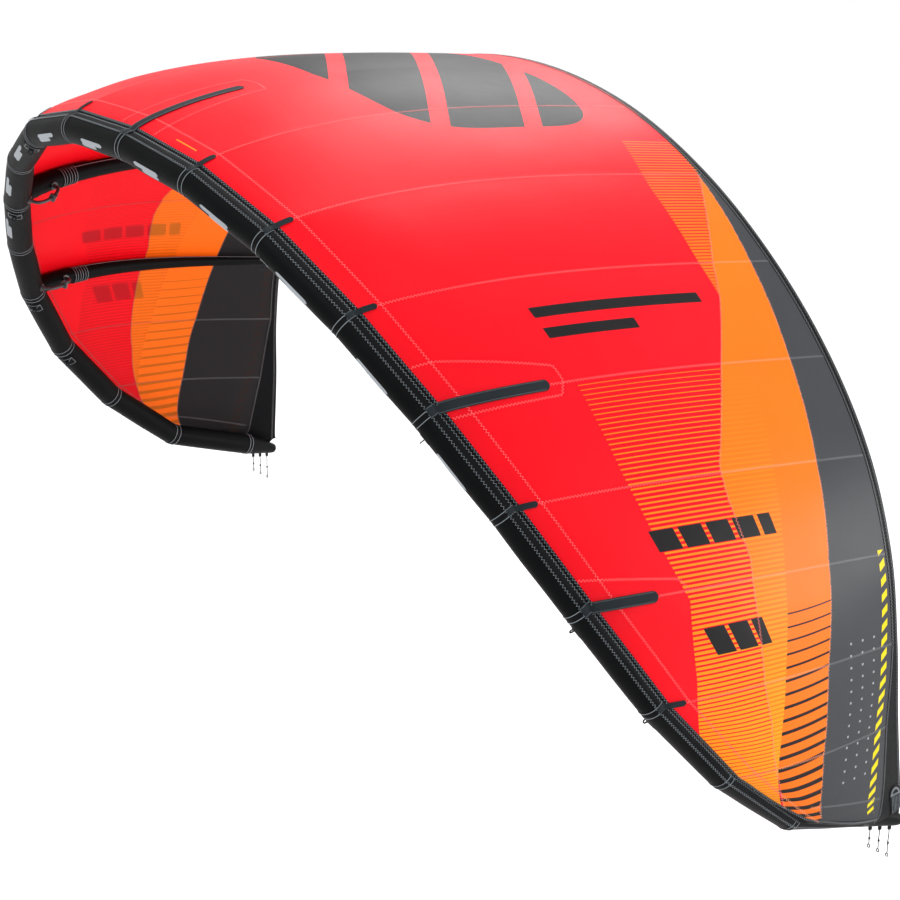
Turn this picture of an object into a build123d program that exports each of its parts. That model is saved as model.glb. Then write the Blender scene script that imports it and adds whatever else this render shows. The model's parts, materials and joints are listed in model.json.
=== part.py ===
from build123d import *
import math
import os

# Inflatable leading-edge kite, 9 square metre class, shown flying with its canopy open.
# Frame: X spanwise, +Y from the leading edge back to the trailing edge, +Z up, tips pointing down.
# The origin is on the axis of the leading edge tube at the middle strut. All lengths are in mm.

# Arch of the right half: tube axis and rear hem, from the plane of symmetry out to the wingtip.
TUBE_AXIS_POINTS = ((0, 0, 0), (745, 50, -140), (1315, 235, -570), (1745, 490, -1125),
                    (1955, 945, -1780), (1968, 1244, -2042), (1955, 1635, -2190))
TIP_END_POINT = (1985, 1800, -2265)
REAR_HEM_POINTS = ((0, 1790, 0), (870, 1795, -210), (1470, 1810, -675), (1840, 1785, -1245),
                   (1940, 1795, -1900), (1975, 1800, -2170))
REAR_CORNER_POINT = (1980, 1802, -2215)

# Seams run across the kite at numbered stations: 0 is the middle, LAST_STATION is beside the tip.
LAST_STATION = 10
TIP_PANEL_STATION = 9
INBOARD_BAYS = 6
INBOARD_PITCH = 376
OUTBOARD_PITCH = 412
REAR_PITCH = 459
REAR_PITCH_RATIO = 0.942
CENTRE_PANEL_STATION = 2
INNER_STRUT_STATION = 4
OUTER_STRUT_STATION = 6

# Leading edge tube: a laminated cloth sleeve over an air bladder.
TUBE_RADIUS_CENTRE = 52
TUBE_RADIUS_LAST = 46
TUBE_END_RADIUS = 18
SLEEVE_WALL = 1.5
BLADDER_GAP = 1.0
BLADDER_WALL = 1.5
BLADDER_END_MARGIN = 20
SEAM_TAPE_WIDTH = 30
SEAM_TAPE_GAP = 0.5
SEAM_TAPE_WALL = 1.2

# Joint strip: cloth that covers the seam between tube and canopy.
JOINT_STRIP_ANGLES = (-12, -4, 4, 12)
JOINT_STRIP_LOW = 3.0
JOINT_STRIP_HIGH = 4.2

# Canopy: thin cloth from a seam on the upper rear side of the tube back to the rear hem.
SEAM_ANGLE = 15
CANOPY_GAP = 3.0
CANOPY_THICKNESS = 2.0
CAMBER = 0.055
CAMBER_SKEW = 0.72
CHORD_FACETS = 8
HEM_WIDTH = 34
CORNER_HEM_START = 7
CORNER_HEM_GROWTH = 48

# Colour fields of the canopy, as fractions of the chord at a station.
RED_EDGE_START = 0.955
RED_EDGE_SLOPE = 0.118
ORANGE_EDGE_START = 0.972
ORANGE_EDGE_SLOPE = 0.026
ORANGE_EDGE_BEND = 0.0072

# Struts: round inflated ribs under the canopy, tapering to the rear hem.
STRUT_FRONT_RADII = {0: 42, INNER_STRUT_STATION: 39, OUTER_STRUT_STATION: 36}
STRUT_REAR_RATIO = 0.42
STRUT_END_FRACTION = 0.945
STRUT_FACETS = 7
STRUT_GAP = 4.0
STRUT_TUBE_GAP = 2.6
STRUT_BLADDER_START = 0.13
STRUT_BLADDER_END = 0.93
BAND_DISTANCES = (210, 237, 264)
BAND_LENGTH = 16
END_FLAP_LENGTH = 46
END_FLAP_TAPER = 0.45

# Reinforcing webbing on top of the canopy, one at every station.
STRAP_START = 6.0
STRAP_FACETS = 3
STRAP_GAP = 3.6
STRAP_THICKNESS = 1.5
LONG_STRAP_LENGTH = 330
SHORT_STRAP_LENGTH = 60
LONG_STRAP_HALF_WIDTH = 19
SHORT_STRAP_HALF_WIDTH = 14
SHORT_STRAP_STATIONS = (1, 2, 3, 5, 7)

# Air plumbing between the tube and each strut.
HOSE_STATIONS = {"centre": 0, "inner": INNER_STRUT_STATION, "outer": OUTER_STRUT_STATION}
HOSE_RADIUS = 7.0
HOSE_WALL = 1.5
HOSE_END_GAP = 0.5
PORT_RADIUS = 8.5
PORT_HEIGHT = 14.0
PORT_FLANGE_RADIUS = 16.0
PORT_FLANGE_HEIGHT = 3.0
PORT_SINK = 8.0
PORT_GAP = 0.3
PORT_ANGLE = 50
PORT_SHIFT = 52
STRUT_PORT_DISTANCE = 155
STRUT_PORT_TILT = 40
HOSE_FULLNESS = 0.9
CLIP_WIDTH = 26.0
CLIP_DEPTH = 22.0
CLIP_LENGTH = 14.0
CLIP_BORE_GAP = 1.0
LEVER_THICKNESS = 3.0
LEVER_GAP = 0.3

# Small hinges: a pin held in two ears, turning in a barrel.
PIN_RADIUS = 1.5
PIN_GAP = 0.05
BARREL_RADIUS = 3.0
BARREL_LENGTH = 9.0
EAR_THICKNESS = 2.3
EAR_GAP = 0.25
EAR_MARGIN = 3.5
HINGE_CLEARANCE = 3.5

# Valves on the rear underside of the tube, beside the middle strut.
VALVE_ANGLE = 38
VALVE_OFFSET = 200
VALVE_BASE_MARGIN = 14.0
VALVE_BASE_HEIGHT = 4.0
VALVE_BASE_SINK = 10.0
VALVE_NECK_HEIGHT = 12.0
INFLATE_BORE_RADIUS = 9.0
DUMP_BORE_RADIUS = 13.0
NECK_WALL = 4.0
CAP_HEIGHT = 4.0
CAP_GAP = 0.3
PLUG_HEIGHT = 2.0
PLUG_CLEARANCE = 1.6

# Zip on the rear of the tube, used to pull the bladder out.
ZIP_ANGLE = 4
ZIP_LENGTH = 230
ZIP_WIDTH = 16
ZIP_THICKNESS = 2.0
ZIP_START = 70
SLIDER_LENGTH = 14.0
SLIDER_WIDTH = 10.0
SLIDER_HEIGHT = 5.0
SLIDER_GAP = 0.3

# Bridle loops on the front underside of the tube, and webbing and lines at the rear corner.
LOOP_STATIONS = (2, 4, 6, 7)
LOOP_ANGLE = 215
LOOP_HOLE_RADIUS = 5.0
LOOP_OUTER_RADIUS = 9.0
LOOP_THICKNESS = 4.0
LOOP_STANDOFF = 12.0
LOOP_PAD_LENGTH = 44.0
LOOP_PAD_WIDTH = 70.0
LOOP_PAD_THICKNESS = 1.5
LOOP_PAD_GAP = 0.3
LOOP_STATION_SHIFT = 50
CORNER_PATCH_START = 0.55
CORNER_PATCH_END = 0.97
CORNER_PATCH_GAP = 1.0
CORNER_PATCH_THICKNESS = 1.5
LINES = {"front": (10.34, 70), "middle": (10.58, 90), "rear": (10.82, 110)}
LINE_RADIUS = 1.7
KNOT_RADIUS = 4.5
KNOT_LENGTH = 9.0
KNOT_FRACTION = 0.55
LINE_PIVOT_DROP = 16.0
LINE_EYE_RADIUS = 5.0
LINE_EYE_THICKNESS = 5.0
END_LOOP_HOLE_RADIUS = 4.0
END_LOOP_RADIUS = 7.5
END_LOOP_THICKNESS = 5.0
ANCHOR_THICKNESS = 2.0
ANCHOR_WIDTH = 9.0


def half_curve(points):
    """Smooth curve that crosses the plane of symmetry squarely."""
    end_direction = Vector(*points[-1]) - Vector(*points[-2])
    return Spline(*points, tangents=[(1, 0, 0), end_direction])


TUBE_AXIS = half_curve(TUBE_AXIS_POINTS)
REAR_HEM = half_curve(REAR_HEM_POINTS)


def tube_distance(station):
    """Distance of a station along the tube axis."""
    inboard = min(station, INBOARD_BAYS)
    return inboard * INBOARD_PITCH + (station - inboard) * OUTBOARD_PITCH


def hem_distance(station):
    """Distance of a station along the rear hem, whose bays shorten outward."""
    return REAR_PITCH * (1 - REAR_PITCH_RATIO ** station) / (1 - REAR_PITCH_RATIO)


def curve_point(curve, fraction):
    return curve.position_at(min(fraction, 1.0))


TUBE_POINTS = [
    curve_point(TUBE_AXIS, tube_distance(i) / tube_distance(LAST_STATION)) for i in range(LAST_STATION + 1)
] + [Vector(*TIP_END_POINT)]
HEM_POINTS = [
    curve_point(REAR_HEM, hem_distance(i) / hem_distance(TIP_PANEL_STATION))
    for i in range(TIP_PANEL_STATION + 1)
] + [Vector(*REAR_CORNER_POINT)]


def lerp(a, b, fraction):
    return a + (b - a) * fraction


def along(values, station):
    """Value at a station that may lie between two whole stations."""
    low = min(int(station), len(values) - 2)
    return lerp(values[low], values[low + 1], station - low)


def bay_direction(low):
    return (TUBE_POINTS[low + 1] - TUBE_POINTS[low]).normalized()


TUBE_DIRECTIONS = [Vector(1, 0, 0)] + [
    (bay_direction(i - 1) + bay_direction(i)).normalized() for i in range(1, LAST_STATION + 1)
] + [bay_direction(LAST_STATION)]
TUBE_RADII = [
    lerp(TUBE_RADIUS_CENTRE, TUBE_RADIUS_LAST, i / LAST_STATION) for i in range(LAST_STATION + 1)
] + [TUBE_END_RADIUS]


class Section:
    """Cross section at a station: tube axis, spanwise, chordwise and outward directions."""

    def __init__(self, station):
        self.station = station
        self.axis = along(TUBE_POINTS, station)
        self.span = along(TUBE_DIRECTIONS, station).normalized()
        self.radius = along(TUBE_RADII, station)
        rear_station = min(station, LAST_STATION)
        self.rear = along(HEM_POINTS, rear_station)
        chord = self.rear - along(TUBE_POINTS, rear_station)
        self.chordwise = chord.normalized()
        self.out = self.span.cross(self.chordwise).normalized()
        self.back = self.out.cross(self.span).normalized()
        self.front = self.axis + self.tube_ray(SEAM_ANGLE, CANOPY_GAP)
        self.chord = (self.rear - self.front).length

    def tube_ray(self, angle, gap):
        """From the axis to the tube surface, in the plane of the chord, plus a gap."""
        slope = math.radians(angle)
        ray = self.out * math.cos(slope) + self.chordwise * math.sin(slope)
        across = ray - self.span * ray.dot(self.span)
        return ray * ((self.radius + gap) / across.length)

    def canopy(self, fraction, lift):
        """Point of the cambered cloth at a fraction of the chord."""
        camber = CAMBER * self.chord * math.sin(math.pi * fraction ** CAMBER_SKEW)
        return lerp(self.front, self.rear, fraction) + self.out * (camber + lift)

    def ring_plane(self):
        return Plane(origin=self.axis, x_dir=self.out, z_dir=self.span)


def mirrored(solid):
    return solid.mirror(Plane.YZ)


def both_sides(name, solid):
    """The right-hand piece and its mirror image, as two nodes."""
    return {name + "_right": [solid], name + "_left": [mirrored(solid)]}


# ---------------------------------------------------------------- leading edge tube

def ring_wire(section, offset):
    plane = section.ring_plane()
    return Wire.make_circle(section.radius + offset, plane)


def mirrored_section(section):
    """The same section on the left half, keeping the spanwise direction pointing right."""
    twin = Section(section.station)
    flip = Vector(-1, 1, 1)
    twin.axis = Vector(*(a * b for a, b in zip(section.axis, flip)))
    twin.span = Vector(*(a * b for a, b in zip(section.span, flip))) * -1
    twin.out = Vector(*(a * b for a, b in zip(section.out, flip)))
    return twin


def tube_sections(first, last):
    """Sections at whole stations; negative stations are on the left."""
    sections = []
    for station in range(first, last + 1):
        section = Section(abs(station))
        sections.append(mirrored_section(section) if station < 0 else section)
    return sections


def tube_solid(sections, offset):
    return Solid.make_loft([ring_wire(section, offset) for section in sections], ruled=True)


def trimmed_end(section, margin):
    """The tip section, pulled back along the tube by a margin."""
    last = Section(section.station)
    last.axis = section.axis - section.span * margin
    return last


def centre_sleeve():
    sections = tube_sections(-INNER_STRUT_STATION, INNER_STRUT_STATION)
    return tube_solid(sections, 0) - tube_solid(sections, -SLEEVE_WALL)


def wing_sleeve():
    sections = tube_sections(INNER_STRUT_STATION, LAST_STATION + 1)
    inner = sections[:-1] + [trimmed_end(sections[-1], SLEEVE_WALL * 2)]
    return tube_solid(sections, 0) - tube_solid(inner, -SLEEVE_WALL)


def tube_bladder():
    outer_offset = -SLEEVE_WALL - BLADDER_GAP
    right = tube_sections(0, LAST_STATION + 1)
    right[-1] = trimmed_end(right[-1], BLADDER_END_MARGIN)
    inside = right[:-1] + [trimmed_end(right[-1], BLADDER_WALL * 3)]
    half = tube_solid(right, outer_offset) - tube_solid(inside, outer_offset - BLADDER_WALL)
    return half.fuse(mirrored(half)).solids()[0]


def seam_tapes():
    """A band of tape over each ring seam of the sleeve."""
    tapes = []
    reach = SEAM_TAPE_WIDTH / 2 / INBOARD_PITCH
    inner = SEAM_TAPE_GAP
    outer = SEAM_TAPE_GAP + SEAM_TAPE_WALL
    for station in range(1, LAST_STATION + 1):
        sections = [Section(station - reach), Section(station), Section(station + reach)]
        tape = tube_solid(sections, outer) - tube_solid(sections, inner)
        tapes += [tape, mirrored(tape)]
    middle = [mirrored_section(Section(reach)), Section(0), Section(reach)]
    tapes.append(tube_solid(middle, outer) - tube_solid(middle, inner))
    return tapes


# ---------------------------------------------------------------- canopy

def hem_start(section):
    """Chord fraction where the rear hem band starts; it widens toward the corner."""
    growth = max(section.station - CORNER_HEM_START, 0) * CORNER_HEM_GROWTH
    return 1 - (HEM_WIDTH + growth) / section.chord


def red_edge(section):
    """Rear edge of the red field."""
    return RED_EDGE_START - RED_EDGE_SLOPE * (section.station - CENTRE_PANEL_STATION)


def orange_edge(section):
    """Rear edge of the orange field."""
    step = section.station - CENTRE_PANEL_STATION
    return ORANGE_EDGE_START - ORANGE_EDGE_SLOPE * step - ORANGE_EDGE_BEND * step ** 2


def front_edge(section):
    return 0.0


def rear_edge(section):
    return 1.0


def cloth_wire(section, start, end, low, high, facets):
    steps = [start + (end - start) * i / facets for i in range(facets + 1)]
    top = [section.canopy(step, high) for step in steps]
    bottom = [section.canopy(step, low) for step in reversed(steps)]
    return Wire.make_polygon(top + bottom, close=True)


def cloth_panel(stations, start, end, facets, low=0.0, high=CANOPY_THICKNESS):
    """Thin cloth between two chordwise edges, over a run of stations."""
    wires = []
    for station in stations:
        section = Section(station)
        wires.append(cloth_wire(section, start(section), end(section), low, high, facets))
    return Solid.make_loft(wires, ruled=True)


def canopy_panels():
    middle = range(0, CENTRE_PANEL_STATION + 1)
    shoulder = range(CENTRE_PANEL_STATION, OUTER_STRUT_STATION + 1)
    outboard = range(OUTER_STRUT_STATION, TIP_PANEL_STATION + 1)
    coloured = range(CENTRE_PANEL_STATION, TIP_PANEL_STATION + 1)
    hemmed = range(0, TIP_PANEL_STATION + 1)
    tip = range(TIP_PANEL_STATION, LAST_STATION + 1)
    half = CHORD_FACETS // 2
    centre = cloth_panel(middle, front_edge, hem_start, CHORD_FACETS)
    shoulder_panel = cloth_panel(shoulder, front_edge, red_edge, CHORD_FACETS)
    nodes = {"canopy_centre_panel": [centre.fuse(mirrored(centre)).solids()[0]]}
    nodes |= both_sides("canopy_red_shoulder_panel", shoulder_panel)
    nodes |= both_sides("canopy_red_outer_panel", cloth_panel(outboard, front_edge, red_edge, CHORD_FACETS))
    nodes |= both_sides("canopy_orange_panel", cloth_panel(coloured, red_edge, orange_edge, half))
    nodes |= both_sides("canopy_grey_panel", cloth_panel(coloured, orange_edge, hem_start, half))
    nodes |= both_sides("trailing_edge_band", cloth_panel(hemmed, hem_start, rear_edge, 1))
    nodes |= both_sides("wingtip_panel", cloth_panel(tip, front_edge, rear_edge, half))
    return nodes


def joint_strip():
    """Cloth strip on the tube, just in front of the canopy seam."""
    wires = []
    for station in range(0, LAST_STATION + 1):
        section = Section(station)
        top = [section.axis + section.tube_ray(angle, JOINT_STRIP_HIGH) for angle in JOINT_STRIP_ANGLES]
        bottom = [section.axis + section.tube_ray(angle, JOINT_STRIP_LOW) for angle in JOINT_STRIP_ANGLES]
        wires.append(Wire.make_polygon(top + bottom[::-1], close=True))
    return Solid.make_loft(wires, ruled=True)


# ---------------------------------------------------------------- struts

def strut_radius(station, fraction):
    return STRUT_FRONT_RADII[station] * lerp(1, STRUT_REAR_RATIO, fraction)


def strut_stations(start, end):
    """Chord fractions of the strut's rings between two ends, on the common ring grid."""
    grid = [STRUT_END_FRACTION * i / STRUT_FACETS for i in range(STRUT_FACETS + 1)]
    inside = [fraction for fraction in grid if start < fraction < end]
    return [start] + inside + [end]


def strut_centre(station, fraction):
    """Axis of the strut, straight between the rings of its grid."""
    section = Section(station)
    step = STRUT_END_FRACTION / STRUT_FACETS
    low = min(int(fraction / step), STRUT_FACETS - 1)
    ends = []
    for ring in (low * step, (low + 1) * step):
        ends.append(section.canopy(ring, -strut_radius(station, ring) - STRUT_GAP))
    return lerp(ends[0], ends[1], (fraction - low * step) / step)


def strut_solid(station, start, end, offset):
    """Round tapering body along the strut between two chord fractions."""
    section = Section(station)
    side = section.chordwise.cross(section.out).normalized()
    wires = []
    for fraction in strut_stations(start, end):
        plane = Plane(origin=strut_centre(station, fraction), x_dir=side, z_dir=section.chordwise)
        wires.append(Wire.make_circle(strut_radius(station, fraction) + offset, plane))
    return Solid.make_loft(wires, ruled=True)


def tube_keepout(station, gap):
    """The leading edge tube near a station, swollen by a gap."""
    if station == 0:
        return tube_solid(tube_sections(-1, 1), gap)
    return tube_solid(tube_sections(station - 1, station + 1), gap)


def rearmost(shape):
    """The piece of a cut shape that lies furthest back."""
    return max(shape.solids(), key=lambda solid: solid.center().Y)


def strut_sleeve(station):
    wall_fraction = SLEEVE_WALL * 2 / Section(station).chord
    outer = strut_solid(station, 0, STRUT_END_FRACTION, 0)
    inner = strut_solid(station, 0, STRUT_END_FRACTION - wall_fraction, -SLEEVE_WALL)
    return rearmost(outer - inner - tube_keepout(station, STRUT_TUBE_GAP))


def strut_bladder(station):
    offset = -SLEEVE_WALL - BLADDER_GAP
    wall_fraction = BLADDER_WALL * 2 / Section(station).chord
    outer = strut_solid(station, STRUT_BLADDER_START, STRUT_BLADDER_END, offset)
    start = STRUT_BLADDER_START + wall_fraction
    end = STRUT_BLADDER_END - wall_fraction
    return outer - strut_solid(station, start, end, offset - BLADDER_WALL)


def strut_bands(station):
    """Stitched bands around the front of a strut."""
    chord = Section(station).chord
    bands = []
    for distance in BAND_DISTANCES:
        start = (distance - BAND_LENGTH / 2) / chord
        end = (distance + BAND_LENGTH / 2) / chord
        outer = strut_solid(station, start, end, SEAM_TAPE_GAP + SEAM_TAPE_WALL)
        bands.append(outer - strut_solid(station, start, end, SEAM_TAPE_GAP))
    return bands


def strut_end_flap(station):
    """Folded cloth flap that closes the rear end of a strut sleeve."""
    section = Section(station)
    side = section.chordwise.cross(section.out).normalized()
    wires = []
    for distance, shrink in ((1.0, 1.0), (END_FLAP_LENGTH, END_FLAP_TAPER)):
        fraction = STRUT_END_FRACTION + distance / section.chord
        radius = strut_radius(station, STRUT_END_FRACTION) * shrink
        centre = section.canopy(fraction, -radius - STRUT_GAP)
        wires.append(Wire.make_circle(radius, Plane(origin=centre, x_dir=side, z_dir=section.chordwise)))
    return Solid.make_loft(wires, ruled=True)


def strut_nodes():
    nodes = {"strut_sleeve_centre": [strut_sleeve(0)], "strut_bladder_centre": [strut_bladder(0)]}
    bands = strut_bands(0)
    flaps = [strut_end_flap(0)]
    for name, station in (("inner", INNER_STRUT_STATION), ("outer", OUTER_STRUT_STATION)):
        nodes |= both_sides("strut_sleeve_" + name, strut_sleeve(station))
        nodes |= both_sides("strut_bladder_" + name, strut_bladder(station))
        for band in strut_bands(station):
            bands += [band, mirrored(band)]
        flap = strut_end_flap(station)
        flaps += [flap, mirrored(flap)]
    nodes["strut_stitch_bands"] = bands
    nodes["strut_end_flaps"] = flaps
    return nodes


# ---------------------------------------------------------------- webbing on the canopy

def strap(station, length, half_width):
    """Webbing along the chord, on top of the canopy at a station."""
    low = CANOPY_THICKNESS + STRAP_GAP
    reach = half_width / INBOARD_PITCH
    stations = [station, station + reach] if station == 0 else [station - reach, station, station + reach]
    solid = cloth_panel(stations, strap_start, lambda section: length / section.chord, STRAP_FACETS,
                        low, low + STRAP_THICKNESS)
    return solid.fuse(mirrored(solid)).solids()[0] if station == 0 else solid


def strap_start(section):
    return STRAP_START / section.chord


def strap_nodes():
    long_straps = [strap(0, LONG_STRAP_LENGTH, LONG_STRAP_HALF_WIDTH)]
    for station in (INNER_STRUT_STATION, OUTER_STRUT_STATION):
        solid = strap(station, LONG_STRAP_LENGTH, LONG_STRAP_HALF_WIDTH)
        long_straps += [solid, mirrored(solid)]
    short_straps = []
    for station in SHORT_STRAP_STATIONS:
        solid = strap(station, SHORT_STRAP_LENGTH, SHORT_STRAP_HALF_WIDTH)
        short_straps += [solid, mirrored(solid)]
    return {"long_strut_straps": long_straps, "short_seam_straps": short_straps}


# ---------------------------------------------------------------- hinges shared by small fittings

def hinge_ears(height, foot):
    """Two ears with their pin. The pin is on the local Y axis; the ears reach down to a foot."""
    inner = BARREL_LENGTH / 2 + EAR_GAP
    ears = Cylinder(PIN_RADIUS, 2 * inner + EAR_THICKNESS, rotation=(90, 0, 0))
    for sign in (-1, 1):
        centre = sign * (inner + EAR_THICKNESS / 2)
        ears += Pos(0, centre, (height + foot) / 2) * Box(2 * EAR_MARGIN, EAR_THICKNESS, height - foot)
    return ears


def hinge_barrel():
    """Barrel that turns on the pin, along the local Y axis."""
    return Cylinder(BARREL_RADIUS, BARREL_LENGTH, rotation=(90, 0, 0))


def hinge_bore():
    return Cylinder(PIN_RADIUS + PIN_GAP, 2 * BARREL_LENGTH, rotation=(90, 0, 0))


# ---------------------------------------------------------------- air plumbing

def port_side(station):
    """Ports sit inboard of a strut, where the tube sweeps away; the middle strut's are on the right."""
    return 1 if station == 0 else -1


def tube_port_plane(station):
    """Plane on the rear underside of the tube, beside a strut; its normal points out of the tube."""
    section = Section(station + port_side(station) * PORT_SHIFT / INBOARD_PITCH)
    slope = math.radians(PORT_ANGLE)
    normal = section.back * math.cos(slope) - section.out * math.sin(slope)
    return Plane(origin=section.axis + normal * section.radius, x_dir=section.span, z_dir=normal)


def strut_port_plane(station):
    """Plane on the underside of the strut, tilted toward the tube port."""
    section = Section(station)
    side = section.chordwise.cross(section.out).normalized()
    slope = math.radians(STRUT_PORT_TILT) * port_side(station)
    normal = side * math.sin(slope) - section.out * math.cos(slope)
    fraction = STRUT_PORT_DISTANCE / section.chord
    centre = strut_centre(station, fraction)
    radius = strut_radius(station, fraction)
    return Plane(origin=centre + normal * radius, x_dir=section.chordwise, z_dir=normal)


def port():
    """Moulded elbow stub with a flange, standing on the local XY plane."""
    flange_height = PORT_FLANGE_HEIGHT + PORT_SINK
    flange = Pos(0, 0, PORT_FLANGE_HEIGHT - flange_height / 2) * Cylinder(PORT_FLANGE_RADIUS, flange_height)
    stub = Pos(0, 0, PORT_HEIGHT / 2) * Cylinder(PORT_RADIUS, PORT_HEIGHT)
    bore = Cylinder(HOSE_RADIUS - HOSE_WALL, 4 * PORT_HEIGHT)
    return flange + stub - bore


def hose_path(station):
    start = tube_port_plane(station)
    end = strut_port_plane(station)
    reach = PORT_HEIGHT + HOSE_END_GAP
    points = (start.origin + start.z_dir * reach, end.origin + end.z_dir * reach)
    fullness = [HOSE_FULLNESS, HOSE_FULLNESS]
    return Spline(*points, tangents=[start.z_dir, end.z_dir * -1], tangent_scalars=fullness)


def hose(station):
    path = hose_path(station)
    start = Plane(origin=path @ 0, z_dir=path % 0)
    profile = start * (Circle(HOSE_RADIUS) - Circle(HOSE_RADIUS - HOSE_WALL))
    return sweep(profile, path=path).solids()[0]


def hose_ports(station):
    tube_end = tube_port_plane(station).location * port() - tube_keepout(station, PORT_GAP)
    strut_keepout = strut_solid(station, 0, STRUT_END_FRACTION, PORT_GAP)
    strut_end = strut_port_plane(station).location * port() - strut_keepout
    return [largest(tube_end), largest(strut_end)]


def largest(shape):
    return max(shape.solids(), key=lambda solid: solid.volume)


def clip_plane(station):
    """Plane across the middle of a hose; its X direction points along the kite's span."""
    path = hose_path(station)
    tangent = path % 0.5
    span = Section(station).span
    across = (span - tangent * span.dot(tangent)).normalized()
    return Plane(origin=path @ 0.5, x_dir=across, z_dir=tangent.cross(across))


def clip_pivot():
    """Lever pivot in the clip's own plane: beside the body, level with the lever."""
    side = CLIP_WIDTH / 2 + HINGE_CLEARANCE
    height = CLIP_DEPTH / 2 + LEVER_GAP + LEVER_THICKNESS / 2
    return Pos(-side, 0, height)


def clip_body(station):
    """Clamp block around the hose. The hose runs along the local Y axis."""
    body = Box(CLIP_WIDTH, CLIP_LENGTH, CLIP_DEPTH)
    body += clip_pivot() * hinge_ears(EAR_MARGIN, -CLIP_DEPTH / 2)
    for sign in (-1, 1):
        centre = sign * (BARREL_LENGTH / 2 + EAR_GAP + EAR_THICKNESS / 2)
        arm_length = 2 * HINGE_CLEARANCE
        arm = Box(arm_length, EAR_THICKNESS, CLIP_DEPTH / 2)
        body += Pos(-CLIP_WIDTH / 2 - arm_length / 4, centre, CLIP_DEPTH / 8) * arm
    body -= Cylinder(HOSE_RADIUS + CLIP_BORE_GAP, 3 * CLIP_LENGTH, rotation=(90, 0, 0))
    return largest(clip_plane(station).location * body)


def clip_lever(station):
    """Lever that presses the clamp shut, lying on the block when closed."""
    length = CLIP_WIDTH + HINGE_CLEARANCE
    lever = hinge_barrel() + Pos(length / 2, 0, 0) * Box(length, BARREL_LENGTH, LEVER_THICKNESS)
    lever -= hinge_bore()
    return largest(clip_plane(station).location * (clip_pivot() * lever))


def plumbing_nodes():
    hoses = []
    ports = []
    bodies = []
    nodes = {}
    for name, station in HOSE_STATIONS.items():
        pieces = {"hose": [hose(station)], "port": hose_ports(station), "body": [clip_body(station)]}
        lever = clip_lever(station)
        for group, solids in ((hoses, pieces["hose"]), (ports, pieces["port"]), (bodies, pieces["body"])):
            group += solids
            if station:
                group += [mirrored(solid) for solid in solids]
        if station:
            nodes |= both_sides("hose_clip_lever_" + name, lever)
        else:
            nodes["hose_clip_lever_" + name] = [lever]
    nodes["strut_air_hoses"] = hoses
    nodes["hose_ports"] = ports
    nodes["hose_clip_bodies"] = bodies
    return nodes


# ---------------------------------------------------------------- valves and zip

def valve_plane():
    """Plane on the rear underside of the tube, half way along the first bay."""
    section = Section(VALVE_OFFSET / INBOARD_PITCH)
    along_bay = bay_direction(0)
    back = section.out.cross(along_bay).normalized()
    slope = math.radians(VALVE_ANGLE)
    normal = back * math.cos(slope) - section.out * math.sin(slope)
    return Plane(origin=section.axis + normal * section.radius, x_dir=along_bay, z_dir=normal)


def cap_pivot(bore_radius):
    side = bore_radius + NECK_WALL + HINGE_CLEARANCE + EAR_MARGIN / 2
    return Pos(-side, 0, VALVE_BASE_HEIGHT + VALVE_NECK_HEIGHT + CAP_GAP + BARREL_RADIUS / 2)


def valve_body(bore_radius):
    """Flanged valve seat with a neck and the two ears of the cap hinge."""
    base_height = VALVE_BASE_HEIGHT + VALVE_BASE_SINK
    base = Cylinder(bore_radius + NECK_WALL + VALVE_BASE_MARGIN, base_height)
    body = Pos(0, 0, VALVE_BASE_HEIGHT - base_height / 2) * base
    neck = Cylinder(bore_radius + NECK_WALL, VALVE_NECK_HEIGHT)
    body += Pos(0, 0, VALVE_BASE_HEIGHT + VALVE_NECK_HEIGHT / 2) * neck
    pivot = cap_pivot(bore_radius)
    body += pivot * hinge_ears(EAR_MARGIN, VALVE_BASE_HEIGHT / 2 - pivot.position.Z)
    body -= Cylinder(bore_radius, 6 * VALVE_NECK_HEIGHT)
    return largest(valve_plane().location * body - tube_keepout(0, PORT_GAP))


def valve_cap(bore_radius):
    """Cap with a shallow plug, hinged beside the neck."""
    top = VALVE_BASE_HEIGHT + VALVE_NECK_HEIGHT + CAP_GAP
    cap = Pos(0, 0, top + CAP_HEIGHT / 2) * Cylinder(bore_radius + NECK_WALL, CAP_HEIGHT)
    plug_radius = bore_radius - PLUG_CLEARANCE
    cap += Pos(0, 0, top - PLUG_HEIGHT / 2) * Cylinder(plug_radius, PLUG_HEIGHT)
    pivot = cap_pivot(bore_radius)
    reach = -pivot.position.X
    cap += Pos(-reach / 2, 0, top + BARREL_RADIUS / 2) * Box(reach, BARREL_LENGTH, BARREL_RADIUS)
    cap += pivot * hinge_barrel()
    cap -= pivot * hinge_bore()
    return largest(valve_plane().location * cap)


def zip_plane():
    """Plane on the rear of the tube in the first bay; X runs along the tube."""
    along_bay = bay_direction(0)
    section = Section(0.5)
    back = section.out.cross(along_bay).normalized()
    out = along_bay.cross(back).normalized()
    slope = math.radians(ZIP_ANGLE)
    normal = back * math.cos(slope) + out * math.sin(slope)
    return Plane(origin=TUBE_POINTS[0] + normal * TUBE_RADIUS_CENTRE, x_dir=along_bay, z_dir=normal)


def zip_tape():
    lift = PORT_GAP + ZIP_THICKNESS / 2
    tape = Pos(ZIP_START + ZIP_LENGTH / 2, 0, lift) * Box(ZIP_LENGTH, ZIP_WIDTH, ZIP_THICKNESS)
    return zip_plane().location * tape


def zip_slider():
    lift = PORT_GAP + ZIP_THICKNESS + SLIDER_GAP + SLIDER_HEIGHT / 2
    slider = Pos(ZIP_START + SLIDER_LENGTH / 2, 0, lift) * Box(SLIDER_LENGTH, SLIDER_WIDTH, SLIDER_HEIGHT)
    return zip_plane().location * slider


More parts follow.
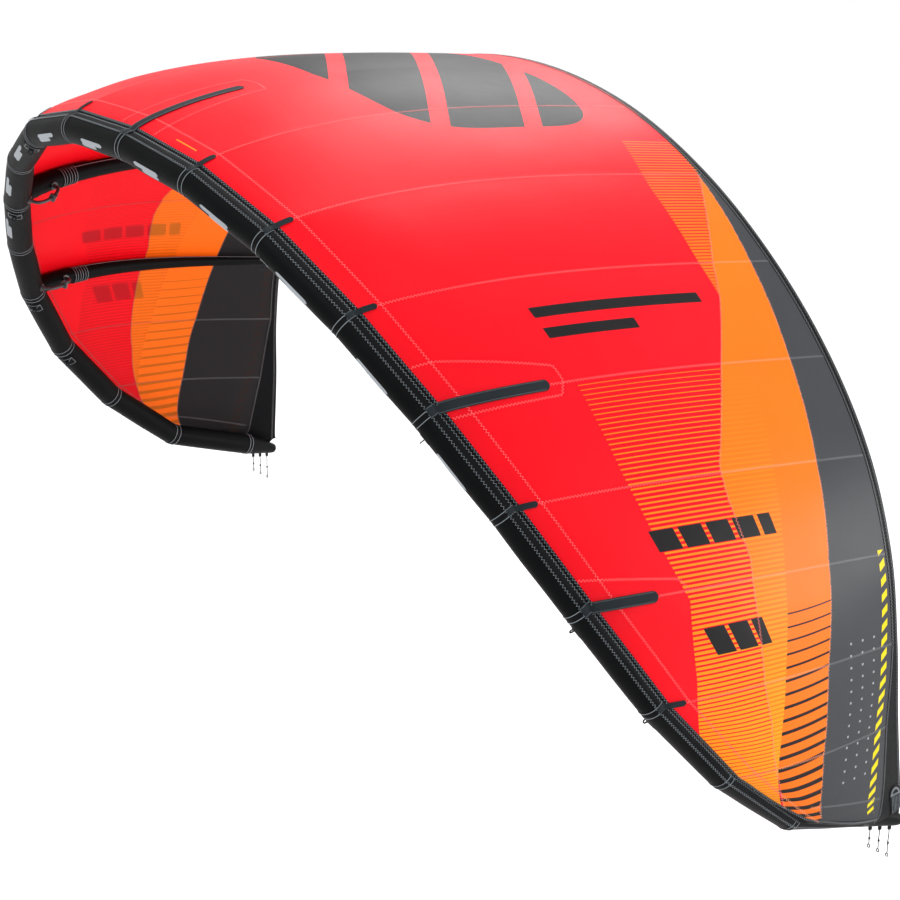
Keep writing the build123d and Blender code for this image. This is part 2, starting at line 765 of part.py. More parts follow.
def valve_nodes():
    return {
        "inflate_valve": [valve_body(INFLATE_BORE_RADIUS)],
        "inflate_valve_cap": [valve_cap(INFLATE_BORE_RADIUS)],
        "dump_valve": [mirrored(valve_body(DUMP_BORE_RADIUS))],
        "dump_valve_cap": [mirrored(valve_cap(DUMP_BORE_RADIUS))],
        "leading_edge_zip": [zip_tape()],
        "zip_slider": [zip_slider()],
    }


# ---------------------------------------------------------------- bridle loops

def loop_plane(station):
    """Plane on the front underside of the tube beside a station; X runs along the tube."""
    section = Section(station + LOOP_STATION_SHIFT / INBOARD_PITCH)
    along_bay = bay_direction(station)
    back = section.out.cross(along_bay).normalized()
    out = along_bay.cross(back).normalized()
    slope = math.radians(LOOP_ANGLE)
    normal = out * math.cos(slope) + back * math.sin(slope)
    return Plane(origin=section.axis + normal * section.radius, x_dir=along_bay, z_dir=normal)


def bridle_patch(station):
    """Square of cloth that lies on the tube under a loop."""
    low = LOOP_PAD_GAP
    sections = tube_sections(station, station + 1)
    skin = tube_solid(sections, low + LOOP_PAD_THICKNESS) - tube_solid(sections, low)
    window = loop_plane(station).location * Box(LOOP_PAD_LENGTH, LOOP_PAD_WIDTH, LOOP_PAD_WIDTH)
    return largest(skin & window)


def bridle_loop(station):
    """Stiff webbing loop with a round eye across the tube's direction."""
    foot = LOOP_PAD_GAP + LOOP_PAD_THICKNESS + LOOP_PAD_GAP
    eye_height = foot + LOOP_STANDOFF
    eye = Pos(0, 0, eye_height) * Cylinder(LOOP_OUTER_RADIUS, LOOP_THICKNESS, rotation=(0, 90, 0))
    stem = Pos(0, 0, (foot + eye_height) / 2) * Box(LOOP_THICKNESS, 2 * LOOP_OUTER_RADIUS, eye_height - foot)
    hole = Pos(0, 0, eye_height) * Cylinder(LOOP_HOLE_RADIUS, 3 * LOOP_THICKNESS, rotation=(0, 90, 0))
    return loop_plane(station).location * (eye + stem - hole)


def bridle_nodes():
    patches = []
    loops = []
    for station in LOOP_STATIONS:
        patch = bridle_patch(station)
        loop = largest(bridle_loop(station))
        patches += [patch, mirrored(patch)]
        loops += [loop, mirrored(loop)]
    return {"bridle_patches": patches, "bridle_loops": loops}


# ---------------------------------------------------------------- wingtip corner

def corner_patch():
    low = CANOPY_THICKNESS + CORNER_PATCH_GAP
    stations = range(TIP_PANEL_STATION, LAST_STATION + 1)
    return cloth_panel(stations, lambda section: CORNER_PATCH_START, lambda section: CORNER_PATCH_END, 2,
                       low, low + CORNER_PATCH_THICKNESS)


def line_pivot(station):
    """Pivot of a rear line, below the underside of the tube end."""
    section = Section(station)
    down = Vector(0, 0, -1)
    across = (down - section.span * down.dot(section.span)).normalized()
    surface = section.axis + across * section.radius
    return surface + down * LINE_PIVOT_DROP


def line_anchor(station):
    """Two webbing ears and a pin, hanging from the tube end. The pin runs along Y."""
    inner = LINE_EYE_THICKNESS / 2 + EAR_GAP
    anchor = Cylinder(PIN_RADIUS, 2 * inner + ANCHOR_THICKNESS, rotation=(90, 0, 0))
    height = LINE_PIVOT_DROP + LINE_EYE_RADIUS
    for sign in (-1, 1):
        ear = Box(ANCHOR_WIDTH, ANCHOR_THICKNESS, height)
        anchor += Pos(0, sign * (inner + ANCHOR_THICKNESS / 2), height / 2 - LINE_EYE_RADIUS) * ear
    bridge = Box(ANCHOR_WIDTH, 2 * (inner + ANCHOR_THICKNESS), ANCHOR_THICKNESS)
    anchor += Pos(0, 0, LINE_EYE_RADIUS + 2 * ANCHOR_THICKNESS) * bridge
    tube = tube_solid(tube_sections(LAST_STATION, LAST_STATION + 1), PORT_GAP)
    return largest(Pos(*line_pivot(station)) * anchor - tube)


def rear_line(station, length):
    """Short knotted line that hangs from its pin and ends in a loop."""
    eye = Cylinder(LINE_EYE_RADIUS, LINE_EYE_THICKNESS, rotation=(90, 0, 0))
    top = -LINE_EYE_RADIUS / 2 - PIN_RADIUS / 2
    bottom = END_LOOP_HOLE_RADIUS / 2 + END_LOOP_RADIUS / 2 - length
    line = eye + Pos(0, 0, (top + bottom) / 2) * Cylinder(LINE_RADIUS, top - bottom)
    line += Pos(0, 0, -length * KNOT_FRACTION) * Cylinder(KNOT_RADIUS, KNOT_LENGTH)
    line += Pos(0, 0, -length) * Cylinder(END_LOOP_RADIUS, END_LOOP_THICKNESS, rotation=(90, 0, 0))
    line -= Pos(0, 0, -length) * Cylinder(END_LOOP_HOLE_RADIUS, 3 * END_LOOP_THICKNESS, rotation=(90, 0, 0))
    line -= hinge_bore()
    return largest(Pos(*line_pivot(station)) * line)


def corner_nodes():
    nodes = both_sides("wingtip_patch", corner_patch())
    anchors = []
    for name, (station, length) in LINES.items():
        anchor = line_anchor(station)
        anchors += [anchor, mirrored(anchor)]
        nodes |= both_sides("rear_line_" + name, rear_line(station, length))
    nodes["rear_line_anchors"] = anchors
    return nodes


def main():
    nodes = {}
    nodes["leading_edge_sleeve_centre"] = [centre_sleeve()]
    nodes |= both_sides("leading_edge_sleeve", wing_sleeve())
    nodes["leading_edge_bladder"] = [tube_bladder()]
    nodes["leading_edge_seam_tapes"] = seam_tapes()
    nodes |= both_sides("leading_edge_joint_strip", joint_strip())
    nodes |= canopy_panels()
    nodes |= strut_nodes()
    nodes |= strap_nodes()
    nodes |= plumbing_nodes()
    nodes |= valve_nodes()
    nodes |= bridle_nodes()
    nodes |= corner_nodes()
    os.makedirs("parts", exist_ok=True)
    for name, solids in nodes.items():
        export_step(Compound(children=solids) if len(solids) > 1 else solids[0], f"parts/{name}.step")


main()
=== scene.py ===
import math
from functools import reduce

import bpy
import numpy as np
from mathutils import Matrix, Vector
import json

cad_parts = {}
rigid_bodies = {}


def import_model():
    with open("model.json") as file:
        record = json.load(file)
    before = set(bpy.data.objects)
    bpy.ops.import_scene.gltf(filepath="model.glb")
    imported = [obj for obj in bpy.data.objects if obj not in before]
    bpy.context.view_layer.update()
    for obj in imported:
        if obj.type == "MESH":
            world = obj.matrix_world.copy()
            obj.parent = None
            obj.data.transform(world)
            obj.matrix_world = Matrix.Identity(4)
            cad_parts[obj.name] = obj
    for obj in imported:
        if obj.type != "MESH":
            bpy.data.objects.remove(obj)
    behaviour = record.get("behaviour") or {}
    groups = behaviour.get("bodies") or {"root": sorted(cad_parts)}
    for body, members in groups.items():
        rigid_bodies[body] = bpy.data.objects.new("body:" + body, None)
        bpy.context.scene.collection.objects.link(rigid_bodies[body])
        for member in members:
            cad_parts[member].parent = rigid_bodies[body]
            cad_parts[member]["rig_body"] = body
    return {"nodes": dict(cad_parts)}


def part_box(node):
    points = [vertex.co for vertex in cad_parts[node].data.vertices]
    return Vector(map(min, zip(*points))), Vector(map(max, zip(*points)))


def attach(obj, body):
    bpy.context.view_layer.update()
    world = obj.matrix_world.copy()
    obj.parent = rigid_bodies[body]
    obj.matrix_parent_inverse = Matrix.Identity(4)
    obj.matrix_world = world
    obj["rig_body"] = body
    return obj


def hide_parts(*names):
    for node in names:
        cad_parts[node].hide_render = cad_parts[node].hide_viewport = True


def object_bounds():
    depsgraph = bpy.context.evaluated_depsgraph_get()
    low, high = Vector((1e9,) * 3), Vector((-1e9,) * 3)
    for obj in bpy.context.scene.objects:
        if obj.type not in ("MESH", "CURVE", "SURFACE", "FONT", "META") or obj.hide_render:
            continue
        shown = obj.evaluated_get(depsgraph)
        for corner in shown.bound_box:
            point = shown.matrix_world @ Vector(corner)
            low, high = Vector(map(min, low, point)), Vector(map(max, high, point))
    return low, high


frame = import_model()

CAD_LOW, CAD_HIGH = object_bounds()
MIRROR = np.array([-1.0, 1.0, 1.0])

# Layout shared with the CAD: seams run across the kite at stations 0 (middle) to 10 (beside the tip).
LAST = 10
TIP_PANEL = 9
ARCH_HEIGHT = 1.2
TAPE_OUTER = 0.0017
SEAM_ANGLE = math.radians(15)
CANOPY_GAP = 0.003
CLOTH_MIDDLE = 0.001
CAMBER = 0.055
CAMBER_SKEW = 0.72
HEM_WIDTH = 0.034
CORNER_HEM_START = 7
CORNER_HEM_GROWTH = 0.048
STRUT_RADII = {0: 0.042, 4: 0.039, 6: 0.036}
STRUT_PLACES = {0: "", 4: "_inner", 6: "_outer"}
STRAP_LENGTHS = {0: 0.427, 4: 0.367, 6: 0.221}
STRUT_REAR_RATIO = 0.42
STRUT_END = 0.945
STRUT_GAP = 0.004
BAY_LENGTH = 0.376

BRIDLE_STATIONS = (2, 4, 6, 7)
BRIDLE_SHIFT = 0.05
BRIDLE_ANGLE = math.radians(215)
ZIP_TOOTH_PITCH = 0.0026
TOOTH_WIDTHS = np.array([0.0008, 0.0006, 0.0009])

# Rings of lofted pieces: (place, width, height, ...) as their builders say.
STRUT_FLAP = ((0.004, 1.02, 1.0), (0.02, 0.96, 0.9), (0.036, 0.9, 0.66), (0.05, 0.86, 0.4), (0.058, 0.84, 0.22),
              (0.060, 0.8, 0.16))
SLIDER_SHAPE = ((-1.0, 0.45, 0.4), (-0.92, 0.7, 0.62), (-0.5, 0.95, 0.7), (0.2, 0.9, 0.7), (0.8, 0.7, 0.62),
                (0.95, 0.5, 0.4))
PULL_SHAPE = ((0.0, 0.0016, 0.0006, 0.0), (0.001, 0.0022, 0.0007, 0.0), (0.012, 0.0026, 0.0007, 0.0004),
              (0.019, 0.0030, 0.0007, 0.0008), (0.0205, 0.0024, 0.0005, 0.0008))

# Studio: lamp name, place, power and size.
LAMPS = (("key", (2.5, -4.0, 5.5), 230, 4.0), ("fill", (6.5, 2.5, 1.5), 70, 3.0),
         ("top", (-0.5, 2.5, 3.6), 150, 2.5), ("rim", (-4.5, 6.5, 3.5), 420, 4.0),
         ("side", (4.6, 5.75, -1.0), 290, 2.0))
LAMP_TARGET = np.array([0.3, 0.9, -0.8])
FLOOR_REACH = 60.0

# Resolution of the modelled surfaces.
SHEET_HALF = 0.0006
SHEET_STEPS = 20
SHEET_ROWS = 120
TUBE_STEPS = 24
TUBE_SIDES = 72
STRUT_RINGS = 90
STRUT_SIDES = 40

# Sewing.
ZIGZAG_WAVE = 0.012
ZIGZAG_REACH = 0.004
THREAD_HALF = 0.0007
THREAD_THICK = 0.0007


# ---- reading the frame

def welded(node):
    """Unique vertices and faces of a CAD node."""
    mesh = frame["nodes"][node].data
    raw = np.array([vertex.co for vertex in mesh.vertices])
    points, index = np.unique(np.round(raw, 5), axis=0, return_inverse=True)
    index = index.ravel()
    return points, [[index[i] for i in polygon.vertices] for polygon in mesh.polygons]


def loose_parts(points, faces):
    parent = list(range(len(points)))

    def root(i):
        while parent[i] != i:
            parent[i] = parent[parent[i]]
            i = parent[i]
        return i

    for face in faces:
        for other in face[1:]:
            parent[root(other)] = root(face[0])
    groups = {}
    for i in range(len(points)):
        groups.setdefault(root(i), []).append(i)
    return [points[group] for group in groups.values()]


def unit(vector):
    vector = np.asarray(vector, float)
    return vector / np.linalg.norm(vector, axis=-1, keepdims=True)


def bisectors(centres):
    """Direction of the tube at each ring: along the mean of the two bays that meet there."""
    bays = unit(np.diff(centres, axis=0))
    middle = unit(bays[:-1] + bays[1:])
    return np.vstack([[1.0, 0.0, 0.0], middle, bays[-1]])


def read_rings():
    """Ring centres and radii of the right half, from the tapes over the ring seams, and the tube's end."""
    tapes = [part for part in loose_parts(*welded("leading_edge_seam_tapes")) if part[:, 0].mean() > -0.01]
    tapes.sort(key=lambda part: math.atan2(part[:, 0].mean(), part[:, 2].mean() + ARCH_HEIGHT))
    rough = np.array([part.mean(axis=0) for part in tapes])
    points, _ = welded("leading_edge_sleeve_right")
    outward = (points - rough[LAST]) @ unit(rough[LAST] - rough[LAST - 1])
    tip_cap = points[outward > outward.max() - 0.016]
    rough = np.vstack([rough, tip_cap.mean(axis=0)])
    directions = bisectors(rough)
    centres = []
    radii = []
    for part, centre, direction in zip(tapes, rough, directions):
        ring = part[np.abs((part - centre) @ direction) < 0.005]
        middle = ring.mean(axis=0)
        centres.append(middle)
        radii.append(np.linalg.norm(ring - middle, axis=1).max() - TAPE_OUTER)
    spread = tip_cap - tip_cap.mean(axis=0)
    radii.append(np.linalg.norm(spread, axis=1).max())
    centres.append(tip_cap.mean(axis=0))
    return np.array(centres), np.array(radii)


def simplified(line, tolerance):
    """The corners of a polyline."""
    if len(line) < 3:
        return list(line)
    along = unit(line[-1] - line[0])
    rest = line - line[0]
    off = np.linalg.norm(rest - np.outer(rest @ along, along), axis=1)
    worst = int(off.argmax())
    if off[worst] < tolerance:
        return [line[0], line[-1]]
    return simplified(line[:worst + 1], tolerance)[:-1] + simplified(line[worst:], tolerance)


def rear_top_edge(node):
    """Vertices along the outer rear edge of a cloth node, from the middle outward."""
    points, faces = welded(node)
    rear, top = set(), set()
    for face in faces:
        a, b, c = points[face[:3]]
        normal = np.cross(b - a, c - a)
        if np.linalg.norm(normal) < 1e-12:
            continue
        normal = unit(normal)
        if normal[1] > 0.8:
            rear.update(face)
        elif normal @ unit([a[0], 0.0, a[2] + ARCH_HEIGHT]) > 0.5:
            top.update(face)
    line = points[sorted(rear & top)]
    return line[np.argsort(-line[:, 2])]


def read_rear():
    """Corners of the trailing edge at stations 0 to 10."""
    hem = simplified(rear_top_edge("trailing_edge_band_right"), 0.0012)
    corner = rear_top_edge("wingtip_panel_right")[-1]
    if len(hem) != TIP_PANEL + 1:
        raise RuntimeError(f"the trailing edge has {len(hem)} corners")
    return np.array(hem + [corner])


AXIS, RADIUS = read_rings()
REAR = read_rear()
SPAN = bisectors(AXIS)
HEM_AT = np.minimum(np.arange(LAST + 2), LAST)
CHORDWISE = unit(REAR[HEM_AT] - AXIS[HEM_AT])
OUT = unit(np.cross(SPAN, CHORDWISE))
BACK = unit(np.cross(OUT, SPAN))
REAR = REAR - OUT[:LAST + 1] * 2 * CLOTH_MIDDLE


def seam_points():
    """Front of the canopy at each station, just off the tube."""
    ray = OUT * math.cos(SEAM_ANGLE) + CHORDWISE * math.sin(SEAM_ANGLE)
    across = ray - SPAN * np.sum(ray * SPAN, axis=1, keepdims=True)
    reach = (RADIUS + CANOPY_GAP)[:, None] / np.linalg.norm(across, axis=1, keepdims=True)
    return (AXIS + ray * reach)[:LAST + 1]


FRONT = seam_points()
CHORD = np.linalg.norm(REAR - FRONT, axis=1)


def chord_at(s):
    return np.interp(np.abs(s), np.arange(LAST + 1), CHORD)


def path_lengths(path):
    """Distance along a path at each of its points."""
    return np.concatenate([[0], np.cumsum(np.linalg.norm(np.diff(path, axis=0), axis=1))])


# ---- the cloth surface

def smoothstep(low, high, value):
    t = np.clip((value - low) / (high - low), 0, 1)
    return t * t * (3 - 2 * t)


def station_cloth(u):
    """Cloth points at whole stations, middle to tip."""
    camber = CAMBER * CHORD[:, None] * np.sin(math.pi * u[None, :] ** CAMBER_SKEW)
    chord = FRONT[:, None] + (REAR - FRONT)[:, None] * u[None, :, None]
    return chord + OUT[:LAST + 1, None] * (camber + CLOTH_MIDDLE)[..., None]


def catmull(a, b, c, d, t):
    square, cube = 2 * a - 5 * b + 4 * c - d, 3 * b - a - 3 * c + d
    return 0.5 * (2 * b + (c - a) * t + square * t ** 2 + cube * t ** 3)


def make_cloth():
    """Dense right half of the cloth: straight between rings at the tube, rounder and billowed behind."""
    u = np.linspace(0, 1, SHEET_ROWS + 1)
    rows = station_cloth(u)
    beyond = 2 * rows[-1] - rows[-2]
    padded = np.concatenate([rows[1:2] * MIRROR, rows, beyond[None]])
    round_share = smoothstep(0.0, 0.22, u)[:, None]
    columns = []
    for bay in range(LAST):
        a, b, c, d = padded[bay:bay + 4]
        outward = unit(OUT[bay] + OUT[bay + 1])
        for step in range(SHEET_STEPS):
            t = step / SHEET_STEPS
            straight = b + (c - b) * t
            curved = catmull(a, b, c, d, t)
            billow = 0.0045 * math.sin(math.pi * t) ** 0.8 * np.sin(math.pi * u) ** 0.6
            columns.append(straight + (curved - straight) * round_share + outward * billow[:, None])
    columns.append(padded[LAST + 1])
    return np.array(columns)


CLOTH = make_cloth()


def cloth_normals():
    mirrored = CLOTH[1:2] * MIRROR
    spread = np.gradient(np.concatenate([mirrored, CLOTH]), axis=0)[1:]
    chordwise = np.gradient(CLOTH, axis=1)
    return unit(np.cross(spread, chordwise))


CLOTH_NORMALS = cloth_normals()


def lookup(table, s, u):
    """Bilinear lookup at station s (0 to 10) and chord fraction u."""
    x = np.clip(s, 0, LAST) * SHEET_STEPS
    y = np.clip(u, 0, 1) * SHEET_ROWS
    i = np.minimum(x.astype(int), table.shape[0] - 2)
    j = np.minimum(y.astype(int), table.shape[1] - 2)
    fx, fy = (x - i)[..., None], (y - j)[..., None]
    near, far = (table[row, j] * (1 - fy) + table[row, j + 1] * fy for row in (i, i + 1))
    return near * (1 - fx) + far * fx


def mirror_signs(s):
    signs = np.ones(np.shape(s) + (3,))
    signs[..., 0] = np.where(s < 0, -1.0, 1.0)
    return signs


def arrays(*values):
    return np.broadcast_arrays(*(np.asarray(value, float) for value in values))


def on_cloth(s, u, lift=0.0):
    """Points and outward normals on the cloth; negative stations are on the left."""
    s, u, lift = arrays(s, u, lift)
    signs = mirror_signs(s)
    normal = unit(lookup(CLOTH_NORMALS, np.abs(s), u))
    point = lookup(CLOTH, np.abs(s), u) + normal * lift[..., None]
    return point * signs, normal * signs


def on_tube(s, theta, offset=0.0):
    """Points and outward normals on the tube; theta turns from outward to rearward."""
    s, theta, offset = arrays(s, theta, offset)
    away = np.abs(s)
    low = np.minimum(away.astype(int), LAST)
    share = (away - low)[..., None]

    def ring(i):
        ray = np.cos(theta)[..., None] * OUT[i] + np.sin(theta)[..., None] * BACK[i]
        return AXIS[i] + ray * (RADIUS[i] + offset)[..., None], ray

    near, near_ray = ring(low)
    far, far_ray = ring(low + 1)
    signs = mirror_signs(s)
    return (near + (far - near) * share) * signs, unit(near_ray + (far_ray - near_ray) * share) * signs


# ---- mesh building

def mirrored(points, faces):
    return points * MIRROR, np.asarray(faces)[:, ::-1]


def placed(name, data, matrix=None):
    """A new object, linked and put in place."""
    thing = bpy.data.objects.new(name, data)
    bpy.context.scene.collection.objects.link(thing)
    if matrix:
        thing.matrix_world = matrix
    return thing


class Bag:
    """Gathers closed shells of quads, then turns them into one piece."""

    def __init__(self, *shells):
        self.points, self.faces, self.values = [], [], []
        self.count = 0
        for shell in shells:
            self.add(shell, both=False)

    def add(self, shell, value=0.0, both=True):
        """Adds a shell, with its mirror image if both."""
        for points, faces in (shell, mirrored(*shell)) if both else (shell,):
            self.points.append(points)
            self.faces.append(np.asarray(faces) + self.count)
            self.values.append(np.broadcast_to(np.asarray(value, float), (len(points),)))
            self.count += len(points)

    def build(self, name, material, slot, replaces=(), smooth=None, body="airframe", attributes=None):
        points = np.concatenate(self.points)
        faces = np.concatenate(self.faces)
        a, b, c, d = np.moveaxis(points[faces], 1, 0)
        if np.sum(a * (np.cross(b, c) + np.cross(c, d))) < 0:
            faces = faces[:, ::-1]
        mesh = bpy.data.meshes.new(name)
        mesh.from_pydata(points.tolist(), [], faces.tolist())
        for key, data in {"value": np.concatenate(self.values), **(attributes or {})}.items():
            mesh.attributes.new(key, "FLOAT", "POINT").data.foreach_set("value", np.asarray(data, np.float32))
        mesh.materials.append(material)
        piece = placed(name, mesh)
        if smooth is not None:
            mesh.shade_smooth()
            mesh.set_sharp_from_angle(angle=math.radians(smooth))
        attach(piece, body)
        if replaces:
            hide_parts(*replaces)


def build_sides(name, shell, material, slot, replaces=None, smooth=50, middle=False):
    """A piece in the middle of the kite, or a right-hand piece and its mirror image."""
    ends = {"_centre": shell} if middle else {"_right": shell, "_left": mirrored(*shell)}
    for end, part in ends.items():
        Bag(part).build(name + end, material, slot, [replaces + end] if replaces else (), smooth)


def circle(count):
    return np.linspace(0, 2 * math.pi, count, endpoint=False)


def quads(rows, columns, wrap=False):
    """Indices of a grid of quads."""
    i, j = np.meshgrid(np.arange(rows - 1), np.arange(columns if wrap else columns - 1), indexing="ij")
    i, j = i.ravel(), j.ravel()
    k = (j + 1) % columns
    return np.stack([i * columns + j, (i + 1) * columns + j, (i + 1) * columns + k, i * columns + k], axis=1)


def slab(top, bottom, wrap=False):
    """Closed shell between two grids of points; wrap closes the columns into a ring."""
    rows, columns = top.shape[:2]
    size = rows * columns
    sheet = quads(rows, columns, wrap)
    j = np.arange(columns if wrap else columns - 1)
    k = (j + 1) % columns
    first = np.stack([j, k, k + size, j + size], axis=1)
    faces = [sheet, sheet[:, ::-1] + size, first, first[:, ::-1] + (rows - 1) * columns]
    if not wrap:
        i = np.arange(rows - 1) * columns
        left = np.stack([i, i + size, i + columns + size, i + columns], axis=1)
        faces += [left, left[:, ::-1] + columns - 1]
    return np.concatenate([top.reshape(-1, 3), bottom.reshape(-1, 3)]), np.concatenate(faces)


def capped(grid):
    """Closed tube from rings of points, its ends fanned to their centres with flattened quads."""
    rows, columns = grid.shape[:2]
    size = rows * columns
    j = np.arange(0, columns, 2)
    fan = np.stack([j, (j + 1) % columns, (j + 2) % columns], axis=1)
    last = fan + size - columns
    centres = np.array([[size], [size + 1]]).repeat(len(j), axis=1)[..., None]
    faces = [quads(rows, columns, True), np.hstack([centres[0], fan]), np.hstack([centres[1], last])[:, ::-1]]
    points = np.concatenate([grid.reshape(-1, 3), grid[[0, -1]].mean(axis=1)])
    return points, np.concatenate(faces)


def sideways(path, normal):
    return unit(np.cross(np.gradient(path, axis=0), normal))


def ribbon(path, normal, half_width, thickness, lift=0.0):
    """Flat strip that follows a path; its ends are closed."""
    side = sideways(path, normal) * np.broadcast_to(half_width, (len(path),))[:, None]
    base = path + normal * lift
    up = normal * thickness
    rings = np.stack([base - side, base - side + up, base + side + up, base + side], axis=1)
    end = (len(path) - 1) * 4
    ends = np.array([[0, 1, 2, 3], [end + 3, end + 2, end + 1, end]])
    return rings.reshape(-1, 3), np.concatenate([quads(len(path), 4, True), ends])


def resampled(path, normal, step):
    """The path and its normals at equal steps."""
    length = path_lengths(path)
    at = np.linspace(0, length[-1], max(int(length[-1] / step), 3) + 1)
    even, even_normal = (np.stack([np.interp(at, length, column) for column in rows.T], axis=1)
                         for rows in (path, normal))
    return even, unit(even_normal)


def zigzag(path, normal, lift=0.0003, reach=ZIGZAG_REACH, wave=ZIGZAG_WAVE, half=THREAD_HALF):
    """Zigzag stitching along a path."""
    even, even_normal = resampled(path, normal, wave / 2)
    side = sideways(even, even_normal)
    swing = np.where(np.arange(len(even)) % 2 == 0, 1.0, -1.0)[:, None] * reach
    return ribbon(even + side * swing, even_normal, half, THREAD_THICK, lift)


# ---- materials

class Shader:
    """Wires a node material."""

    def __init__(self, name):
        self.material = bpy.data.materials.new(name)
        self.material.use_nodes = True
        self.tree = self.material.node_tree
        self.tree.nodes.clear()
        self.output = self.node("OutputMaterial")

    def set(self, socket, value):
        if isinstance(value, bpy.types.NodeSocket):
            self.tree.links.new(value, socket)
        elif value is not None:
            socket.default_value = value

    def node(self, kind, settings=None, **inputs):
        """A node with its own settings; inputs go by socket name, with _ for a space."""
        node = self.tree.nodes.new("ShaderNode" + kind)
        for key, value in (settings or {}).items():
            setattr(node, key, value)
        for key, value in inputs.items():
            self.set(node.inputs[key.replace("_", " ")], value)
        return node

    def math(self, operation, *values):
        node = self.node("Math", {"operation": operation})
        for socket, value in zip(node.inputs, values):
            self.set(socket, value)
        return node.outputs[0]

    def scaled(self, value, factor, add=0.0):
        return self.math("MULTIPLY_ADD", value, factor, add)

    def span(self, value, low, high):
        """Maps 0..1 to low..high."""
        return self.scaled(value, high - low, low)

    def limited(self, value, low, high):
        return self.math("MINIMUM", self.math("MAXIMUM", value, low), high)

    def repeat(self, value, rate):
        """Place within a pattern that repeats so many times per unit, 0 to 1."""
        return self.math("FRACT", self.math("MULTIPLY", value, rate))

    def both(self, *masks):
        return reduce(lambda a, b: self.math("MULTIPLY", a, b), masks)

    def either(self, *masks):
        return reduce(lambda a, b: self.math("MAXIMUM", a, b), masks)

    def above(self, value, limit):
        return self.math("GREATER_THAN", value, limit)

    def below(self, value, limit):
        return self.math("LESS_THAN", value, limit)

    def between(self, value, low, high):
        return self.both(self.above(value, low), self.below(value, high))

    def attribute(self, name):
        return self.node("Attribute", {"attribute_name": name}).outputs["Fac"]

    def position(self):
        return self.node("TexCoord").outputs["Object"]

    def noise(self, scale, detail=2.0, roughness=0.5):
        return self.node("TexNoise", Scale=scale, Detail=detail, Roughness=roughness,
                         Vector=self.position()).outputs["Fac"]

    def waves(self, scale, direction):
        return self.node("TexWave", {"bands_direction": direction}, Scale=scale,
                         Vector=self.position()).outputs["Fac"]

    def mix(self, share, a, b):
        return self.node("Mix", {"data_type": "RGBA"}, Factor=share, A=a, B=b).outputs["Result"]

    def bump(self, height, distance, strength=1.0, normal=None):
        bump = self.node("Bump", Height=height, Distance=distance, Strength=strength, Normal=normal)
        return bump.outputs["Normal"]

    def surface(self, color, roughness, normal=None, **more):
        finish = self.node("BsdfPrincipled", Base_Color=color, Roughness=roughness, Normal=normal, **more)
        return finish.outputs["BSDF"]

    def finish(self, shader):
        self.tree.links.new(shader, self.output.inputs["Surface"])
        return self.material


def rgb(red, green, blue):
    """Linear colour from 8-bit display values."""
    def linear(value):
        value = value / 255
        return value / 12.92 if value <= 0.04045 else ((value + 0.055) / 1.055) ** 2.4
    return (linear(red), linear(green), linear(blue), 1.0)


def shaded(color, factor, add=0.0):
    return tuple(min(channel * factor + add, 1.0) for channel in color[:3]) + (1.0,)


RED = rgb(249, 0, 30)
ORANGE = rgb(255, 130, 14)
YELLOW = rgb(255, 176, 24)
SAFETY_YELLOW = rgb(255, 232, 0)
GREY = rgb(70, 72, 76)
PRINT_DARK = rgb(26, 29, 31)
HEM_DARK = rgb(22, 25, 28)
INSIDE_DARK = rgb(38, 36, 38)
DOT_PALE = rgb(196, 200, 204)


def woven(name, color, scale=260.0, roughness=0.5, sheen=0.3, bump=0.0004, spread=0.25, gloss=0.08):
    """Coarse plain weave: webbing, laminated cloth and tapes."""
    sh = Shader(name)
    weave = sh.either(*(sh.waves(scale, direction) for direction in "XZY"))
    cloudy = sh.noise(7.0, 4.0, 0.6)
    dust = sh.noise(90.0, 3.0, 0.7)
    light = shaded(color, 1 + spread, 0.003)
    shade = sh.mix(cloudy, shaded(color, 1 - spread), light)
    shade = sh.mix(sh.scaled(weave, 0.25), shade, light)
    normal = sh.bump(sh.scaled(weave, 0.6, sh.math("MULTIPLY", dust, 0.6)), bump, 0.7)
    normal = sh.bump(cloudy, 0.004, 0.25, normal)
    rough = sh.span(dust, roughness - 0.08, roughness + 0.08)
    return sh.finish(sh.surface(shade, rough, normal, Sheen_Weight=sheen, Sheen_Roughness=0.4,
                                Specular_IOR_Level=gloss))


def plastic(name, color, roughness=0.35):
    """Moulded plastic with fine grain and handling marks."""
    sh = Shader(name)
    grain = sh.noise(900.0, 2.0)
    scuffs = sh.noise(60.0, 5.0, 0.7)
    shade = sh.mix(sh.scaled(scuffs, 0.5), color, shaded(color, 1.35, 0.01))
    rough = sh.span(scuffs, roughness - 0.08, roughness + 0.2)
    return sh.finish(sh.surface(shade, rough, sh.bump(grain, 0.0002, 0.4)))


def film(name, color):
    """Bladder film: slightly clear, softly creased."""
    sh = Shader(name)
    creases = sh.noise(24.0, 6.0, 0.65)
    shade = sh.mix(creases, color, (0.9, 0.9, 0.92, 1.0))
    normal = sh.bump(creases, 0.003, 0.5)
    return sh.finish(sh.surface(shade, sh.span(creases, 0.12, 0.35), normal, Transmission_Weight=0.5))


def thread_material(name, color):
    sh = Shader(name)
    twist = sh.noise(1500.0, 2.0)
    fade = sh.noise(5.0, 3.0)
    shade = sh.mix(sh.math("MULTIPLY", sh.math("ADD", twist, fade), 0.5), shaded(color, 0.6), color)
    surface = sh.surface(shade, sh.span(twist, 0.4, 0.65), sh.bump(twist, 0.0003, 0.6), Sheen_Weight=0.3)
    return sh.finish(surface)


